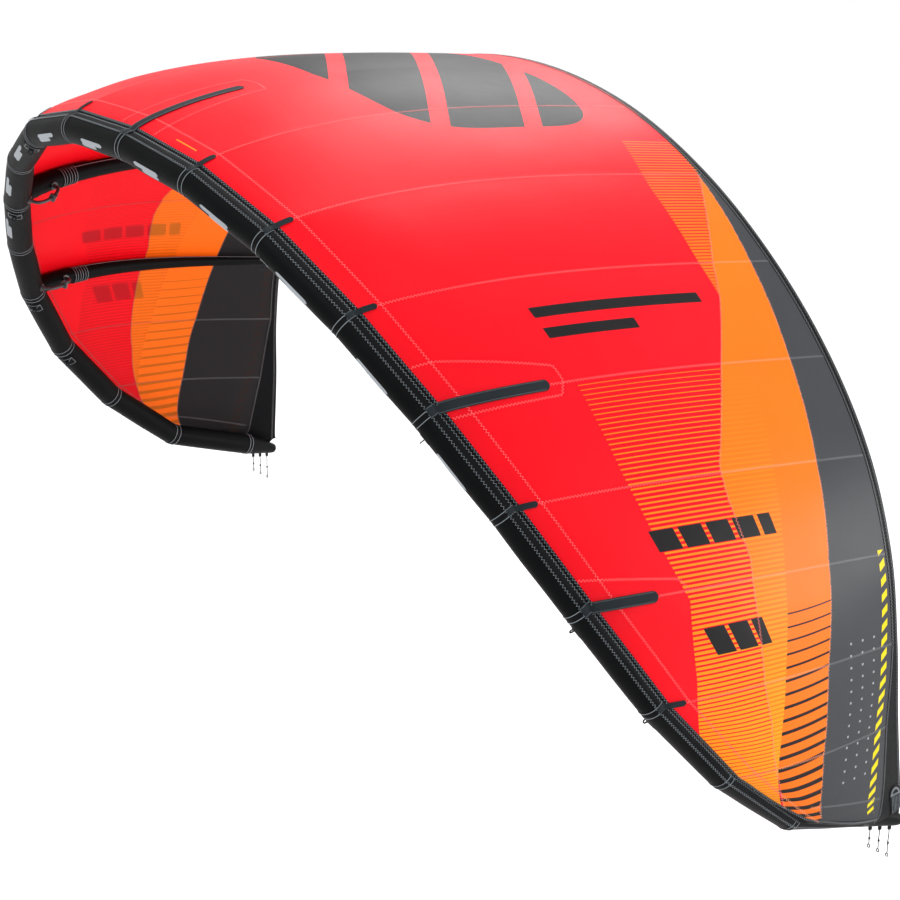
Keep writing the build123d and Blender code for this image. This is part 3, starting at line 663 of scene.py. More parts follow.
def zone_thread_material():
    """Thread on the canopy: a tint of the panel it sews, lighter outside and darker inside."""
    sh = Shader("canopy_thread")
    zone = sh.attribute("value")
    shade = rgb(250, 84, 90)
    for limit, tint in enumerate(((252, 150, 90), (98, 103, 108), (120, 14, 24), (170, 78, 22), (98, 98, 100))):
        shade = sh.mix(sh.above(zone, limit + 0.5), shade, rgb(*tint))
    twist = sh.noise(1500.0, 2.0)
    shade = sh.mix(sh.scaled(twist, 0.15), shade, rgb(250, 240, 235))
    return sh.finish(sh.surface(shade, sh.span(twist, 0.4, 0.6), sh.bump(twist, 0.0003, 0.5)))


BAND_BOW = 0.013
DARK_STRIPE_PITCH = 0.0428
# Curves of the print, as (station, chord fraction) corners.
FIELD_EDGE = ((3.98, .294), (4.84, .265), (5.41, .251), (6.09, .249), (6.82, .132), (7.41, .011), (8.0, -.11))
RED_EDGE = ((1.2, 1.09), (2.04, .968), (2.99, .823), (3.38, .773), (3.99, .674), (4.94, .519), (5.25, .497),
            (5.83, .484), (6.58, .403), (7.44, .29), (8.17, .152), (8.5, .07), (9.0, -.06))
WEDGE_EDGE = ((1.55, .857), (2.18, .809), (2.86, .787), (3.36, .777), (3.6, .80))
YELLOW_EDGE = ((3.98, .77), (4.18, .73), (4.66, .703), (5.13, .664), (5.89, .597), (6.74, .49), (7.46, .348),
               (8.3, .113), (8.7, 0.0), (9.5, -.2))
GREY_EDGE = ((1.4, .99), (2.07, .971), (2.95, .931), (3.97, .876), (4.84, .826), (5.74, .768), (6.66, .69),
             (7.97, .488), (8.92, .188), (9.4, .03), (10, -.2))
DASH_LINE = ((5.95, .957), (6.5, .951), (7.05, .925), (7.65, .894), (8.38, .796), (9.38, .551), (10, .4))
PRINT_CURVES = {"field": FIELD_EDGE, "red": RED_EDGE, "wedge": WEDGE_EDGE, "yellow": YELLOW_EDGE,
                "grey": GREY_EDGE}
# Plain bars, as their ranges of stations and chord fractions.
PLAIN_BARS = (((3.30, 3.40), (.30, .72)), ((3.50, 3.60), (.30, .52)))
SPLIT_BARS = (((5.42, 5.62), (.24, .60)), ((6.36, 6.62), (.24, .44)))
STRUT_PATCHES = (((0.0, .275), (.17, .265), (.22, .12), (.26, .01)),
                 ((3.6, .01), (3.6, .05), (3.84, .267), (3.98, .268), (4.11, .245), (4.12, .01)),
                 ((5.74, .01), (5.88, .25), (5.98, .262)))


def curve_at(corners, s):
    """Chord fraction of a curve at a station; the sweeping curves have their corners rounded off."""
    stations = [corner[0] for corner in corners]
    fractions = [corner[1] for corner in corners]
    if corners in (GREY_EDGE, YELLOW_EDGE, DASH_LINE):
        shifts = np.linspace(-0.45, 0.45, 9)
        return sum(np.interp(s + shift, stations, fractions) for shift in shifts) / len(shifts)
    return np.interp(s, stations, fractions)


def hem_start(s):
    growth = np.maximum(np.abs(s) - CORNER_HEM_START, 0) * CORNER_HEM_GROWTH
    return np.maximum(1 - (HEM_WIDTH + growth) / chord_at(s), 0.03)


def strip_reach(s):
    """How far the black strip along the tube laps onto the cloth; it is wider along the wingtip."""
    return 0.011 + 0.020 * smoothstep(8.4, 9.1, s)


def edge_distance(s, u):
    """Distance from points on the right half of the cloth to its edge along the tube."""
    front, _ = on_cloth(np.linspace(7.5, LAST, 90), 0.0)
    tip, _ = on_cloth(LAST, np.linspace(0.0, 0.9, 40))
    edge = np.concatenate([front, tip])
    points, _ = on_cloth(s, u)
    nearest = [np.linalg.norm(edge - point, axis=1).min() for point in points.reshape(-1, 3)]
    return np.array(nearest).reshape(np.shape(s))


def border_row(distance):
    """Stations and fractions of the line at a distance from the edge along the tube, near the wingtip."""
    u = np.linspace(0, 0.9, 181)
    stations = []
    fractions = []
    for s in np.linspace(8.0, 9.95, 100):
        away = edge_distance(np.full(181, s), u)
        limit = distance(s)
        if away.max() < limit:
            break
        stations.append(s)
        fractions.append(u[int((away >= limit).argmax())])
    return np.array(stations), np.array(fractions)


def print_layers(s, u):
    """How far a point lies behind each curve of the print, stored on the cloth for its material."""
    away = np.abs(s)
    layers = {"station": s, "away": away, "chordwise": u, "metres": u * chord_at(s), "hem": u - hem_start(s)}
    for name, curve in PRINT_CURVES.items():
        layers[name] = u - curve_at(curve, away)
    layers["dash"] = (u - curve_at(DASH_LINE, away)) * chord_at(s)
    across = np.clip(layers["yellow"] / np.maximum(layers["yellow"] - layers["grey"], 1e-3), 0, 1)
    layers["band"] = np.interp(away, *band_distance()) + BAND_BOW * across ** 2
    tip = away > 8.0
    layers["edge"] = np.ones(len(s))
    layers["edge"][tip] = edge_distance(away[tip], u[tip]) - strip_reach(away[tip])
    return layers


def band_distance():
    """Distance along the middle of the dark striped band, by station."""
    s = np.linspace(6.0, 9.3, 200)
    u = np.clip((curve_at(YELLOW_EDGE, s) + curve_at(GREY_EDGE, s)) / 2, 0.02, 0.98)
    return s, path_lengths(on_cloth(s, u)[0])


def canopy_print(sh, get):
    """Masks of the printed pattern."""
    away = get["away"]
    behind = {name: sh.above(get[name], 0.0) for name in ("field", "wedge", "yellow", "grey")}
    in_red = sh.below(get["red"], 0.0)
    width = sh.limited(sh.scaled(away, 0.17, -0.54), 0.12, 0.86)
    field = sh.both(sh.above(away, 4.02), behind["field"], sh.below(get["yellow"], 0.0),
                    sh.below(sh.repeat(away, 21.5), width))
    width = sh.math("MINIMUM", sh.scaled(away, 0.3, -0.2), 0.7)
    bars = sh.below(sh.repeat(away, 30.0), width)
    wedge = sh.both(sh.between(away, 1.55, 3.45), behind["wedge"], in_red, bars)
    dark = sh.both(sh.above(away, 6.3), behind["yellow"], sh.below(get["grey"], 0.0),
                   sh.below(sh.repeat(get["band"], 1 / DARK_STRIPE_PITCH), sh.scaled(away, 0.135, -0.74)))
    slant = sh.scaled(get["dash"], 13.0, sh.math("MULTIPLY", away, 6.1))
    dash = sh.both(sh.between(away, 5.95, 9.15), sh.below(sh.math("FRACT", slant), 0.5),
                   sh.below(sh.math("ABSOLUTE", get["dash"]), sh.scaled(away, 0.0022, 0.001)))
    accent = sh.both(sh.between(get["station"], 0.50, 0.80), sh.between(get["metres"], 0.040, 0.044))
    dots = sh.both(sh.below(sh.repeat(get["dash"], 1 / 0.066), 0.14), sh.below(sh.repeat(away, 7.6), 0.19),
                   sh.between(get["dash"], -0.22, -0.05), sh.between(away, 6.8, 8.45), behind["grey"])
    return {"in_red": in_red, "in_grey": behind["grey"], "field": field, "wedge": wedge, "dark": dark,
            "dash": dash, "accent": accent, "dots": dots}


def plain_marks(sh, get):
    """Plain bars and a striped badge that stand where a maker would print a name."""
    away, u = get["away"], get["chordwise"]
    block = sh.below(sh.repeat(u, 12.5), 0.84)
    bars = [sh.both(sh.between(away, *across), sh.between(u, *along)) for across, along in PLAIN_BARS]
    bars += [sh.both(sh.between(away, *across), sh.between(u, *along), block) for across, along in SPLIT_BARS]
    across = sh.math("POWER", sh.math("DIVIDE", away, 1.36), 4.0)
    back = sh.math("POWER", sh.math("ABSOLUTE", sh.math("DIVIDE", sh.math("SUBTRACT", u, 0.64), 0.24)), 4.0)
    stripe = sh.above(sh.repeat(sh.scaled(get["station"], 0.16, u), 4.6), 0.2)
    return sh.either(*bars, sh.both(sh.below(sh.math("ADD", across, back), 1.0), stripe))


def canopy_material():
    """Ripstop cloth, printed on its outer face; the inner face shows the print faintly."""
    sh = Shader("canopy_cloth")
    layers = (*PRINT_CURVES, "station", "away", "chordwise", "metres", "dash", "hem", "band", "edge")
    get = {name: sh.attribute(name) for name in layers}
    mask = canopy_print(sh, get)
    marks = plain_marks(sh, get)
    variation = sh.noise(1.6, 4.0, 0.55)
    base = sh.mix(mask["in_grey"], sh.mix(mask["in_red"], ORANGE, RED), GREY)
    stripe_color = sh.mix(sh.limited(sh.scaled(get["away"], 0.28, -1.1), 0.0, 1.0), ORANGE, YELLOW)
    printed = base
    for area, ink in ((mask["wedge"], ORANGE), (mask["field"], stripe_color), (mask["dark"], PRINT_DARK),
                      (mask["dash"], SAFETY_YELLOW), (mask["accent"], YELLOW),
                      (sh.scaled(mask["dots"], 0.8), DOT_PALE), (marks, PRINT_DARK)):
        printed = sh.mix(area, printed, ink)
    shadow = sh.either(mask["field"], mask["wedge"], mask["dark"], mask["dash"], marks)
    lining = sh.mix(mask["in_grey"], base, INSIDE_DARK)
    through = sh.mix(sh.scaled(shadow, 0.2), lining, (0.05, 0.0, 0.0, 1.0))
    color = sh.mix(sh.attribute("value"), printed, through)
    color = sh.mix(sh.either(sh.above(get["hem"], 0.0), sh.below(get["edge"], 0.0)), color, HEM_DARK)
    ripstop = sh.either(sh.below(sh.repeat(get["away"], 62.0), 0.2),
                        sh.below(sh.repeat(get["metres"], 165.0), 0.2))
    color = sh.mix(sh.scaled(ripstop, 0.014), color, (1.0, 0.8, 0.8, 1.0))
    color = sh.mix(sh.scaled(variation, 0.16), color, (0.0, 0.0, 0.0, 1.0))
    fine = sh.noise(420.0, 2.0)
    normal = sh.bump(sh.scaled(ripstop, 0.8, sh.math("MULTIPLY", fine, 0.5)), 0.0006, 0.5)
    normal = sh.bump(sh.noise(5.0, 3.0), 0.012, 0.3, normal)
    face = sh.surface(color, sh.span(variation, 0.34, 0.48), normal, Specular_IOR_Level=0.13,
                      Sheen_Weight=0.12, Sheen_Roughness=0.25)
    glow = sh.node("BsdfTranslucent", Color=color)
    blend = sh.node("MixShader", Fac=0.42)
    sh.set(blend.inputs[1], face)
    sh.set(blend.inputs[2], glow.outputs[0])
    return sh.finish(blend.outputs[0])


BLACK_CLOTH = woven("black_laminate", rgb(3, 4, 5), 190.0, 0.46, 0.0, gloss=0.045)
BLACK_TAPE = woven("black_tape", rgb(7, 8, 10), 420.0, 0.5, 0.0, gloss=0.045)
WEBBING = woven("webbing", rgb(24, 30, 34), 520.0, 0.65, 0.03, 0.0008, 0.35)
CORD = woven("cord", rgb(18, 20, 22), 700.0, 0.65, 0.1, 0.0006, 0.5)
HOSE_PLASTIC = plastic("hose_plastic", rgb(34, 36, 39), 0.4)
CLIP_PLASTIC = plastic("clip_plastic", rgb(60, 64, 68), 0.4)
VALVE_PLASTIC = plastic("valve_plastic", rgb(40, 43, 46), 0.38)
ZIP_TAPE = woven("zip_tape", rgb(24, 26, 28), 600.0, 0.6, 0.2)
ZIP_METAL = plastic("zip_metal", rgb(120, 124, 128), 0.3)
BLADDER_FILM = film("bladder_film", rgb(200, 205, 210))
GREY_THREAD = thread_material("grey_thread", rgb(122, 131, 137))
STRAP_THREAD = thread_material("strap_thread", rgb(66, 74, 80))
PALE_MARK = woven("pale_mark", rgb(150, 156, 162), 500.0, 0.5, 0.2, 0.0003, 0.1)
CANOPY_THREAD = zone_thread_material()
CANOPY_CLOTH = canopy_material()


# ---- canopy

def build_canopy():
    """The whole canopy as one cambered sheet with an outer and an inner face."""
    count = 2 * LAST * SHEET_STEPS + 1
    s, u = np.meshgrid(np.linspace(-LAST, LAST, count), np.linspace(0, 0.998, SHEET_ROWS + 1), indexing="ij")
    top, bottom = (on_cloth(s, u, lift)[0] for lift in (SHEET_HALF, -SHEET_HALF))
    layers = {name: np.tile(data, 2) for name, data in print_layers(s.ravel(), u.ravel()).items()}
    bag = Bag()
    bag.add(slab(top, bottom), np.repeat([0.0, 1.0], s.size), both=False)
    panels = [f"{panel}_{side}" for panel in ("canopy_red_shoulder_panel", "canopy_red_outer_panel",
                                              "canopy_orange_panel", "canopy_grey_panel", "wingtip_panel")
              for side in ("right", "left")]
    replaced = ["canopy_centre_panel"] + panels
    bag.build("canopy_sheet", CANOPY_CLOTH, "red_cloth", replaced, 60, attributes=layers)


def build_hem():
    """Folded hem round the trailing edge, widening into the corner reinforcement."""
    s = np.linspace(0, LAST, LAST * SHEET_STEPS + 1)[:, None]
    steps = np.linspace(0, 1, 9)[None, :]
    u = hem_start(s) + (1 - hem_start(s)) * steps
    lift = 0.0017 * np.minimum(1.0, 0.55 + 4 * np.minimum(steps, 1 - steps))
    top, bottom = (on_cloth(s, u, lift * face)[0] for face in (1, -1))
    rim = (top[:, -1] - top[:, -3]) * 0.25
    top[:, -1] += rim
    bottom[:, -1] += rim
    build_sides("trailing_edge_hem", slab(top, bottom), BLACK_TAPE, "hem_cloth", "trailing_edge_band")


def zone_of(s, u):
    """Panel colour under a stitch: 0 red, 1 orange, 2 grey or black."""
    zone = np.where(u > curve_at(RED_EDGE, np.abs(s)), 1.0, 0.0)
    return np.where(u > curve_at(GREY_EDGE, np.abs(s)), 2.0, zone)


def canopy_row(bag, s, u, lift=0.0008, inside=False):
    """One zigzag row through (station, fraction) points on both wings, on the outer or the inner face."""
    path, normal = on_cloth(s, u)
    points, faces = zigzag(path, -normal if inside else normal, lift)
    even = np.linspace(0, 1, len(points) // 4)
    steps = np.linspace(0, 1, len(s))
    zone = zone_of(np.interp(even, steps, s), np.interp(even, steps, u))
    bag.add((points, faces), np.repeat(zone + (3 if inside else 0), 4))


def outline(corners, count=160):
    """Evenly spread points along a broken line of (station, fraction) corners."""
    at = np.linspace(0, len(corners) - 1, count)
    return [np.interp(at, np.arange(len(corners)), column) for column in zip(*corners)]


def build_canopy_stitching():
    bag = Bag()
    for inside in (False, True):
        for station in range(1, LAST):
            u = np.linspace(0.01 if station < TIP_PANEL else 0.2, hem_start(station), 200)
            s = np.linspace(8.65, 8.88, 200) if station == TIP_PANEL else np.full(200, station)
            if not (inside and station in STRUT_RADII):
                canopy_row(bag, s, u, inside=inside)
        s = np.linspace(0.0, TIP_PANEL, 400)
        canopy_row(bag, s, 0.075 / chord_at(s), inside=inside)
        for corners in (RED_EDGE, GREY_EDGE):
            s = np.linspace(2.0, 8.9, 300)
            u = curve_at(corners, s)
            keep = (u > 0.01) & (u < hem_start(s))
            canopy_row(bag, s[keep], u[keep], inside=inside)
    for corners in STRUT_PATCHES:
        canopy_row(bag, *outline(corners))
    s = np.linspace(0.0, LAST - 0.1, 500)
    for inside in (False, True):
        canopy_row(bag, s, np.minimum(hem_start(s) + 0.006 / chord_at(s), 0.99), 0.0022, inside)
        canopy_row(bag, s, np.maximum(1 - 0.007 / chord_at(s), 0.5), 0.0022, inside)
    bag.build("canopy_stitching", CANOPY_THREAD, "red_cloth")


# ---- leading edge

def tube_offset(s, theta):
    """How the pressurised sleeve differs from straight cones: bulged bays, pinched rings, small pleats."""
    away = np.abs(s)
    share = away - np.floor(away)
    distance = np.minimum(share, 1 - share) * BAY_LENGTH
    bulge = 0.0016 * np.sin(math.pi * share) ** 0.7
    pinch = -0.0011 * np.exp(-(distance / 0.012) ** 2)
    ring = np.round(away)
    inner = np.clip(-np.cos(theta), 0, 1) ** 1.5
    pleats = np.cos(17 * theta + 2.1 * ring) * np.cos(5 * theta - ring)
    wrinkle = 0.0010 * pleats * np.exp(-distance / 0.045) * inner
    drift = 0.0005 * np.sin(9 * away + 3 * np.sin(theta)) * np.sin(2 * theta + away)
    return bulge + pinch + wrinkle + drift


def on_skin(s, theta, lift=0.0):
    """Points and outward normals on the pressurised sleeve."""
    return on_tube(s, theta, tube_offset(s, theta) + lift)


def tube_rows(first, last):
    return np.linspace(first, last, (last - first) * TUBE_STEPS + 1)


def build_sleeves():
    theta = circle(TUBE_SIDES)[None, :]
    grid, _ = on_skin(tube_rows(-4, 4)[:, None], theta)
    names = ("sleeve_cloth", "leading_edge_sleeve", 60)
    build_sides("leading_edge_skin", capped(grid), BLACK_CLOTH, *names, middle=True)
    grid, _ = on_skin(tube_rows(4, LAST + 1)[:, None], theta)
    end = grid[-1:]
    middle = end.mean(axis=1, keepdims=True)
    cap = [middle + (end - middle) * scale + SPAN[LAST + 1] * 0.010 * math.sqrt(1 - scale ** 2)
           for scale in (0.97, 0.85, 0.55)]
    build_sides("leading_edge_skin", capped(np.concatenate([grid, *cap])), BLACK_CLOTH, *names)


def build_ring_tapes():
    """Tape over every ring seam. Returns the bag that holds its two straight rows of thread."""
    tapes, threads = Bag(), Bag()
    half = 0.0135 / BAY_LENGTH
    across = np.linspace(-1, 1, 7)[:, None]
    theta = circle(TUBE_SIDES)[None, :]
    for station in range(LAST + 1):
        top, _ = on_skin(station + half * across, theta, 0.0009 + 0.0006 * (1 - across ** 4))
        bottom, _ = on_skin(station + half * across, theta, -0.0004)
        tapes.add(slab(top, bottom, wrap=True), both=station)
        for edge in (-0.76, 0.76):
            row = on_skin(station + edge * half, np.linspace(0, 2 * math.pi, 121), 0.0013)
            threads.add(ribbon(*row, 0.0011, 0.0007), both=station)
    tapes.build("leading_edge_ring_tapes", BLACK_TAPE, "seam_tape", ["leading_edge_seam_tapes"], 50)
    return threads


def joint_grid(s, lift):
    """Columns of the joint strip: round the tube, then onto the first strip of cloth."""
    columns = [on_skin(s, math.radians(angle), lift)[0] for angle in (-28, -20, -12, -4, 4, 11)]
    columns += [on_cloth(s, share * strip_reach(s) / chord_at(s), lift + 0.0006)[0]
                for share in (0.09, 0.3, 0.55, 0.8, 1.0)]
    return np.stack(columns, axis=1)


def build_joint_strips(threads):
    s = tube_rows(0, LAST)
    strip = slab(joint_grid(s, 0.0012), joint_grid(s, 0.0002))
    build_sides("joint_strip", strip, BLACK_TAPE, "joint_cloth", "leading_edge_joint_strip")
    for angle in (-24, 6):
        threads.add(zigzag(*on_skin(s, math.radians(angle), 0.0012)))
    s = np.linspace(0, 7.99, 500)
    tip_s, tip_u = border_row(lambda at: strip_reach(at) - 0.004)
    row = on_cloth(np.concatenate([s, tip_s]), np.concatenate([0.007 / chord_at(s), tip_u]), 0.0018)
    threads.add(zigzag(*row))
    threads.build("leading_edge_stitching", GREY_THREAD, "seam_tape")


def build_marks():
    """Plain pale bars on the front of the tube."""
    bag = Bag()
    width = 0.0075 * np.clip(np.sin(np.linspace(0, math.pi, 24)) * 6, 0.25, 1)
    for bay in range(5):
        for theta, start, end in ((-1.78, 0.28, 0.66), (-2.05, 0.40, 0.66)):
            bag.add(ribbon(*on_skin(bay + np.linspace(start, end, 24), theta), width, 0.0006, 0.0002))
    bag.build("leading_edge_pale_bars", PALE_MARK, "sleeve_cloth")


# ---- straps and struts

def strap_path(station, length):
    """From the ring tape, over the joint strip, onto the cloth."""
    around = on_tube(station, np.radians(np.linspace(-26, 8, 9)), 0.0022)
    behind = on_cloth(station, np.linspace(0.004, length, 40) / CHORD[station], 0.0022)
    return [np.concatenate(rows) for rows in zip(around, behind)]


def rounded_width(path, half):
    """Half widths of a strip whose far end is round."""
    length = path_lengths(path)
    left = np.clip((length[-1] - length) / half, 0, 1)
    return np.maximum(half * np.sqrt(1 - (1 - left) ** 2), half * 0.2)


def build_straps():
    straps, tabs, threads = Bag(), Bag(), Bag()
    for station in range(8):
        long = station in STRAP_LENGTHS
        half = 0.019 if long else 0.010
        path, normal = resampled(*strap_path(station, STRAP_LENGTHS.get(station, 0.062)), 0.004)
        (straps if long else tabs).add(ribbon(path, normal, rounded_width(path, half), 0.0016), both=station)
        side = sideways(path, normal) * (half - 0.004)
        for row in (path - side, path + side) if long else ():
            threads.add(zigzag(row[:-4], normal[:-4], 0.0017, 0.0015, 0.006), both=station)
    straps.build("strut_straps", WEBBING, "webbing", ["long_strut_straps"], 40)
    tabs.build("seam_tabs", WEBBING, "webbing", ["short_seam_straps"], 40)
    threads.build("strap_stitching", STRAP_THREAD, "webbing")


def strut_ring(station, u, radius, squash=1.0):
    """A ring of the strut under the cloth at a chord fraction."""
    (behind, here, ahead), _ = on_cloth(station, [max(u - 0.004, 0.0), u, min(u + 0.004, 1.0)])
    direction = unit(ahead - behind)
    down = -unit(OUT[station] - direction * (OUT[station] @ direction))
    side = unit(np.cross(direction, down))
    angle = circle(STRUT_SIDES)[:, None]
    centre = here + down * (radius * squash + STRUT_GAP)
    return centre + (np.cos(angle) * down * squash + np.sin(angle) * side) * radius


def strut_radius(station, u):
    return STRUT_RADII[station] * (1 + (STRUT_REAR_RATIO - 1) * u)


def strut_grid(station, start, end, count, offset=0.0):
    rings = []
    for u in np.linspace(start, end, count):
        ripple = 0.0006 * math.sin(u * 190) * math.exp(-u * 9)
        rings.append(strut_ring(station, u, strut_radius(station, u) + offset + ripple))
    return np.array(rings)


def build_struts():
    bands, flaps, threads = Bag(), Bag(), Bag()
    for station, place in STRUT_PLACES.items():
        chord = CHORD[station]
        tail = strut_radius(station, STRUT_END)
        closing = [strut_ring(station, STRUT_END + step / chord, tail * scale)
                   for step, scale in ((0.002, 0.96), (0.005, 0.85), (0.007, 0.6))]
        skin = capped(np.concatenate([strut_grid(station, 0.0, STRUT_END, STRUT_RINGS), closing]))
        air = capped(strut_grid(station, 0.16, STRUT_END - 0.015, STRUT_RINGS, -0.003))
        build_sides("strut_skin" + place, skin, BLACK_CLOTH, "sleeve_cloth", "strut_sleeve" + place, 60,
                    not station)
        build_sides("strut_air_tube" + place, air, BLADDER_FILM, "bladder_film", "strut_bladder" + place, 60,
                    not station)
        for distance in (0.210, 0.237, 0.264):
            ends = ((distance - 0.0065) / chord, (distance + 0.0065) / chord)
            outer, inner = (strut_grid(station, *ends, 5, lift) for lift in (0.0016, 0.0002))
            bands.add(slab(outer, inner, wrap=True), both=station)
            for at in ends:
                ring = strut_ring(station, at, strut_radius(station, at) + 0.0017)
                closed = np.concatenate([ring, ring[:1]])
                threads.add(ribbon(closed, unit(closed - ring.mean(axis=0)), 0.0009, 0.0007), both=station)
        flap = [strut_ring(station, STRUT_END + (step - 0.008) / chord, tail * scale + 0.0012, flat)
                for step, scale, flat in STRUT_FLAP]
        flaps.add(capped(np.array(flap)), both=station)
        rings = np.array([strut_ring(station, at, strut_radius(station, at) + 0.0006)
                          for at in np.linspace(0.16, STRUT_END, 200)])
        for turn in (1.9, -1.9):
            line = rings[:, int(turn / (2 * math.pi) * STRUT_SIDES) % STRUT_SIDES]
            threads.add(ribbon(line, unit(line - rings.mean(axis=1)), 0.0016, 0.0006), both=station)
    bands.build("strut_bands", BLACK_TAPE, "seam_tape", ["strut_stitch_bands"], 50)
    flaps.build("strut_tail_flaps", BLACK_TAPE, "seam_tape", ["strut_end_flaps"], 60)
    threads.build("strut_stitching", GREY_THREAD, "seam_tape")


# ---- wingtip corner

def from_hem(s, distance):
    """Chord fraction at a distance ahead of the trailing edge."""
    return np.maximum(1 - distance / chord_at(s), 0.02)


def build_corner():
    """Patch over the rear corner with its webbing rows, and the sewn arch above them."""
    rows, threads = Bag(), Bag()
    s = np.linspace(8.95, 9.93, 40)
    for k in range(6):
        u = from_hem(s, 0.010 + 0.0098 * k)
        rows.add(ribbon(*on_cloth(s, u, 0.0037), 0.0033, 0.0012))
        threads.add(zigzag(*on_cloth(s, u, 0.0050), 0.0, 0.0018, 0.005, 0.0005))
    turn = np.linspace(0, math.pi, 50)
    for scale in (1.0, 0.84):
        s = 8.93 - 0.125 * scale * np.sin(turn)
        row = on_cloth(s, from_hem(s, 0.035 + 0.029 * scale * np.cos(turn)), 0.0038)
        threads.add(ribbon(*row, 0.0009, 0.0008))
    for s in (8.93, 8.91):
        row = on_cloth(s, from_hem(s, np.linspace(0.003, 0.067, 40)), 0.0038)
        threads.add(zigzag(*row, 0.0, 0.0022, 0.006, 0.0006))
    s, share = np.meshgrid(np.linspace(8.76, 9.97, 60), np.linspace(0, 1, 16), indexing="ij")
    arch = np.clip((s - 8.76) / 0.12, 0, 1)
    half = 0.033 * np.sqrt(1 - (1 - arch) ** 2) + 0.001
    u = from_hem(s, 0.036 + half * (1 - 2 * share))
    patch = slab(on_cloth(s, u, 0.0037)[0], on_cloth(s, u, 0.0022)[0])
    build_sides("corner_patch", patch, BLACK_TAPE, "webbing", "wingtip_patch")
    rows.build("corner_webbing", WEBBING, "webbing")
    threads.build("corner_stitching", GREY_THREAD, "webbing")


def build_gusset():
    """Cloth between the canopy's bottom edge and the end of the tube, tightened along its rear edge."""
    t = np.linspace(0, 1, 25)
    edge, _ = on_cloth(LAST, t * 0.995)
    tube, _ = on_tube(LAST + 0.94 * t, SEAM_ANGLE, -0.001)
    share = np.linspace(0, 1, 9)[None, :, None]
    sheet = edge[:, None] * (1 - share) + tube[:, None] * share
    pull = 0.006 * np.sin(math.pi * share) * smoothstep(0.7, 1.0, t)[:, None, None]
    sheet = sheet - unit(edge[-1] - edge[0]) * pull
    half = OUT[LAST] * 0.0012
    build_sides("corner_gusset", slab(sheet + half, sheet - half), BLACK_TAPE, "joint_cloth", smooth=60)


def swept(path, radius, braid=0.16):
    """Cord along a path, its surface rippled like a braid."""
    tangents = unit(np.gradient(path, axis=0))
    angle = circle(12)
    normal = unit(np.cross(tangents[0], [0.0, 1.0, 0.0]) + 1e-6)
    rings = []
    for point, tangent, travelled in zip(path, tangents, path_lengths(path)):
        normal = unit(normal - tangent * (normal @ tangent))
        bumps = 1 + braid * np.sin(3 * angle + travelled * 900) * np.cos(3 * angle - travelled * 900)
        offset = np.cos(angle)[:, None] * normal + np.sin(angle)[:, None] * np.cross(tangent, normal)
        rings.append(point + offset * (radius * bumps)[:, None])
    return capped(np.array(rings))


def build_rear_lines():
    """Knotted cords: a loop round the pin, a run down, an overhand knot and an end loop."""
    turn = np.linspace(0, 2 * math.pi, 90)
    fall = np.linspace(0, 1, 60)
    part = np.linspace(0.15 * math.pi, 1.85 * math.pi, 40)
    end = np.linspace(0, 2 * math.pi, 60)
    for name in ("front_right", "front_left", "middle_right", "middle_left", "rear_right", "rear_left"):
        node = "rear_line_" + name
        low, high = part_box(node)
        place = np.array([(low.x + high.x) / 2, (low.y + high.y) / 2, 0.0])
        pivot = high.z - 0.005
        bottom = low.z + 0.0075
        length = pivot - bottom
        cords = (
            (0.0034 * np.sin(part), 0.0008 * np.cos(part / 2), pivot + 0.0034 * np.cos(part) - 0.0004, 0.0015),
            (0.0006 * np.sin(fall * 9), 0.0, pivot - 0.004 - fall * (length - 0.009), 0.0017),
            (0.00132 * (np.sin(turn) + 1.1 * np.sin(2 * turn)),
             0.00132 * (np.cos(turn) - 1.1 * np.cos(2 * turn)),
             pivot - length * 0.55 - 0.0028 * np.sin(3 * turn), 0.0017),
            (0.0055 * np.sin(end), 0.0009 * np.cos(end), bottom + 0.0055 * np.cos(end), 0.0018))
        bag = Bag(*(swept(place + np.stack(arrays(x, y, z), axis=1), radius) for x, y, z, radius in cords))
        bag.build("rear_cord_" + name, CORD, "line", [node], 60, body=frame["nodes"][node]["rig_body"])


# ---- zip and bridle patches

def block_frame(node):
    """Centre, axes (longest first) and half sizes of a node that is a plain block."""
    points, _ = welded(node)
    centre = points.mean(axis=0)
    _, _, axes = np.linalg.svd(points - centre)
    axes[2] *= 1.0 if axes[2][1] >= 0 else -1.0
    axes[0] *= 1.0 if axes[0][0] >= 0 else -1.0
    axes[1] = np.cross(axes[2], axes[0])
    return centre, axes, np.abs((points - centre) @ axes.T).max(axis=0)


def lofted_block(centre, axes, rings):
    """Rounded body lofted along its long axis from (place, half width, half height, lift) rings."""
    wide, tall = (np.sign(wave) * np.sqrt(np.abs(wave)) for wave in (np.cos(circle(24)), np.sin(circle(24))))
    return capped(np.array([centre + np.stack(arrays(place, wide * width, tall * height + lift), axis=1) @ axes
                            for place, width, height, lift in rings]))


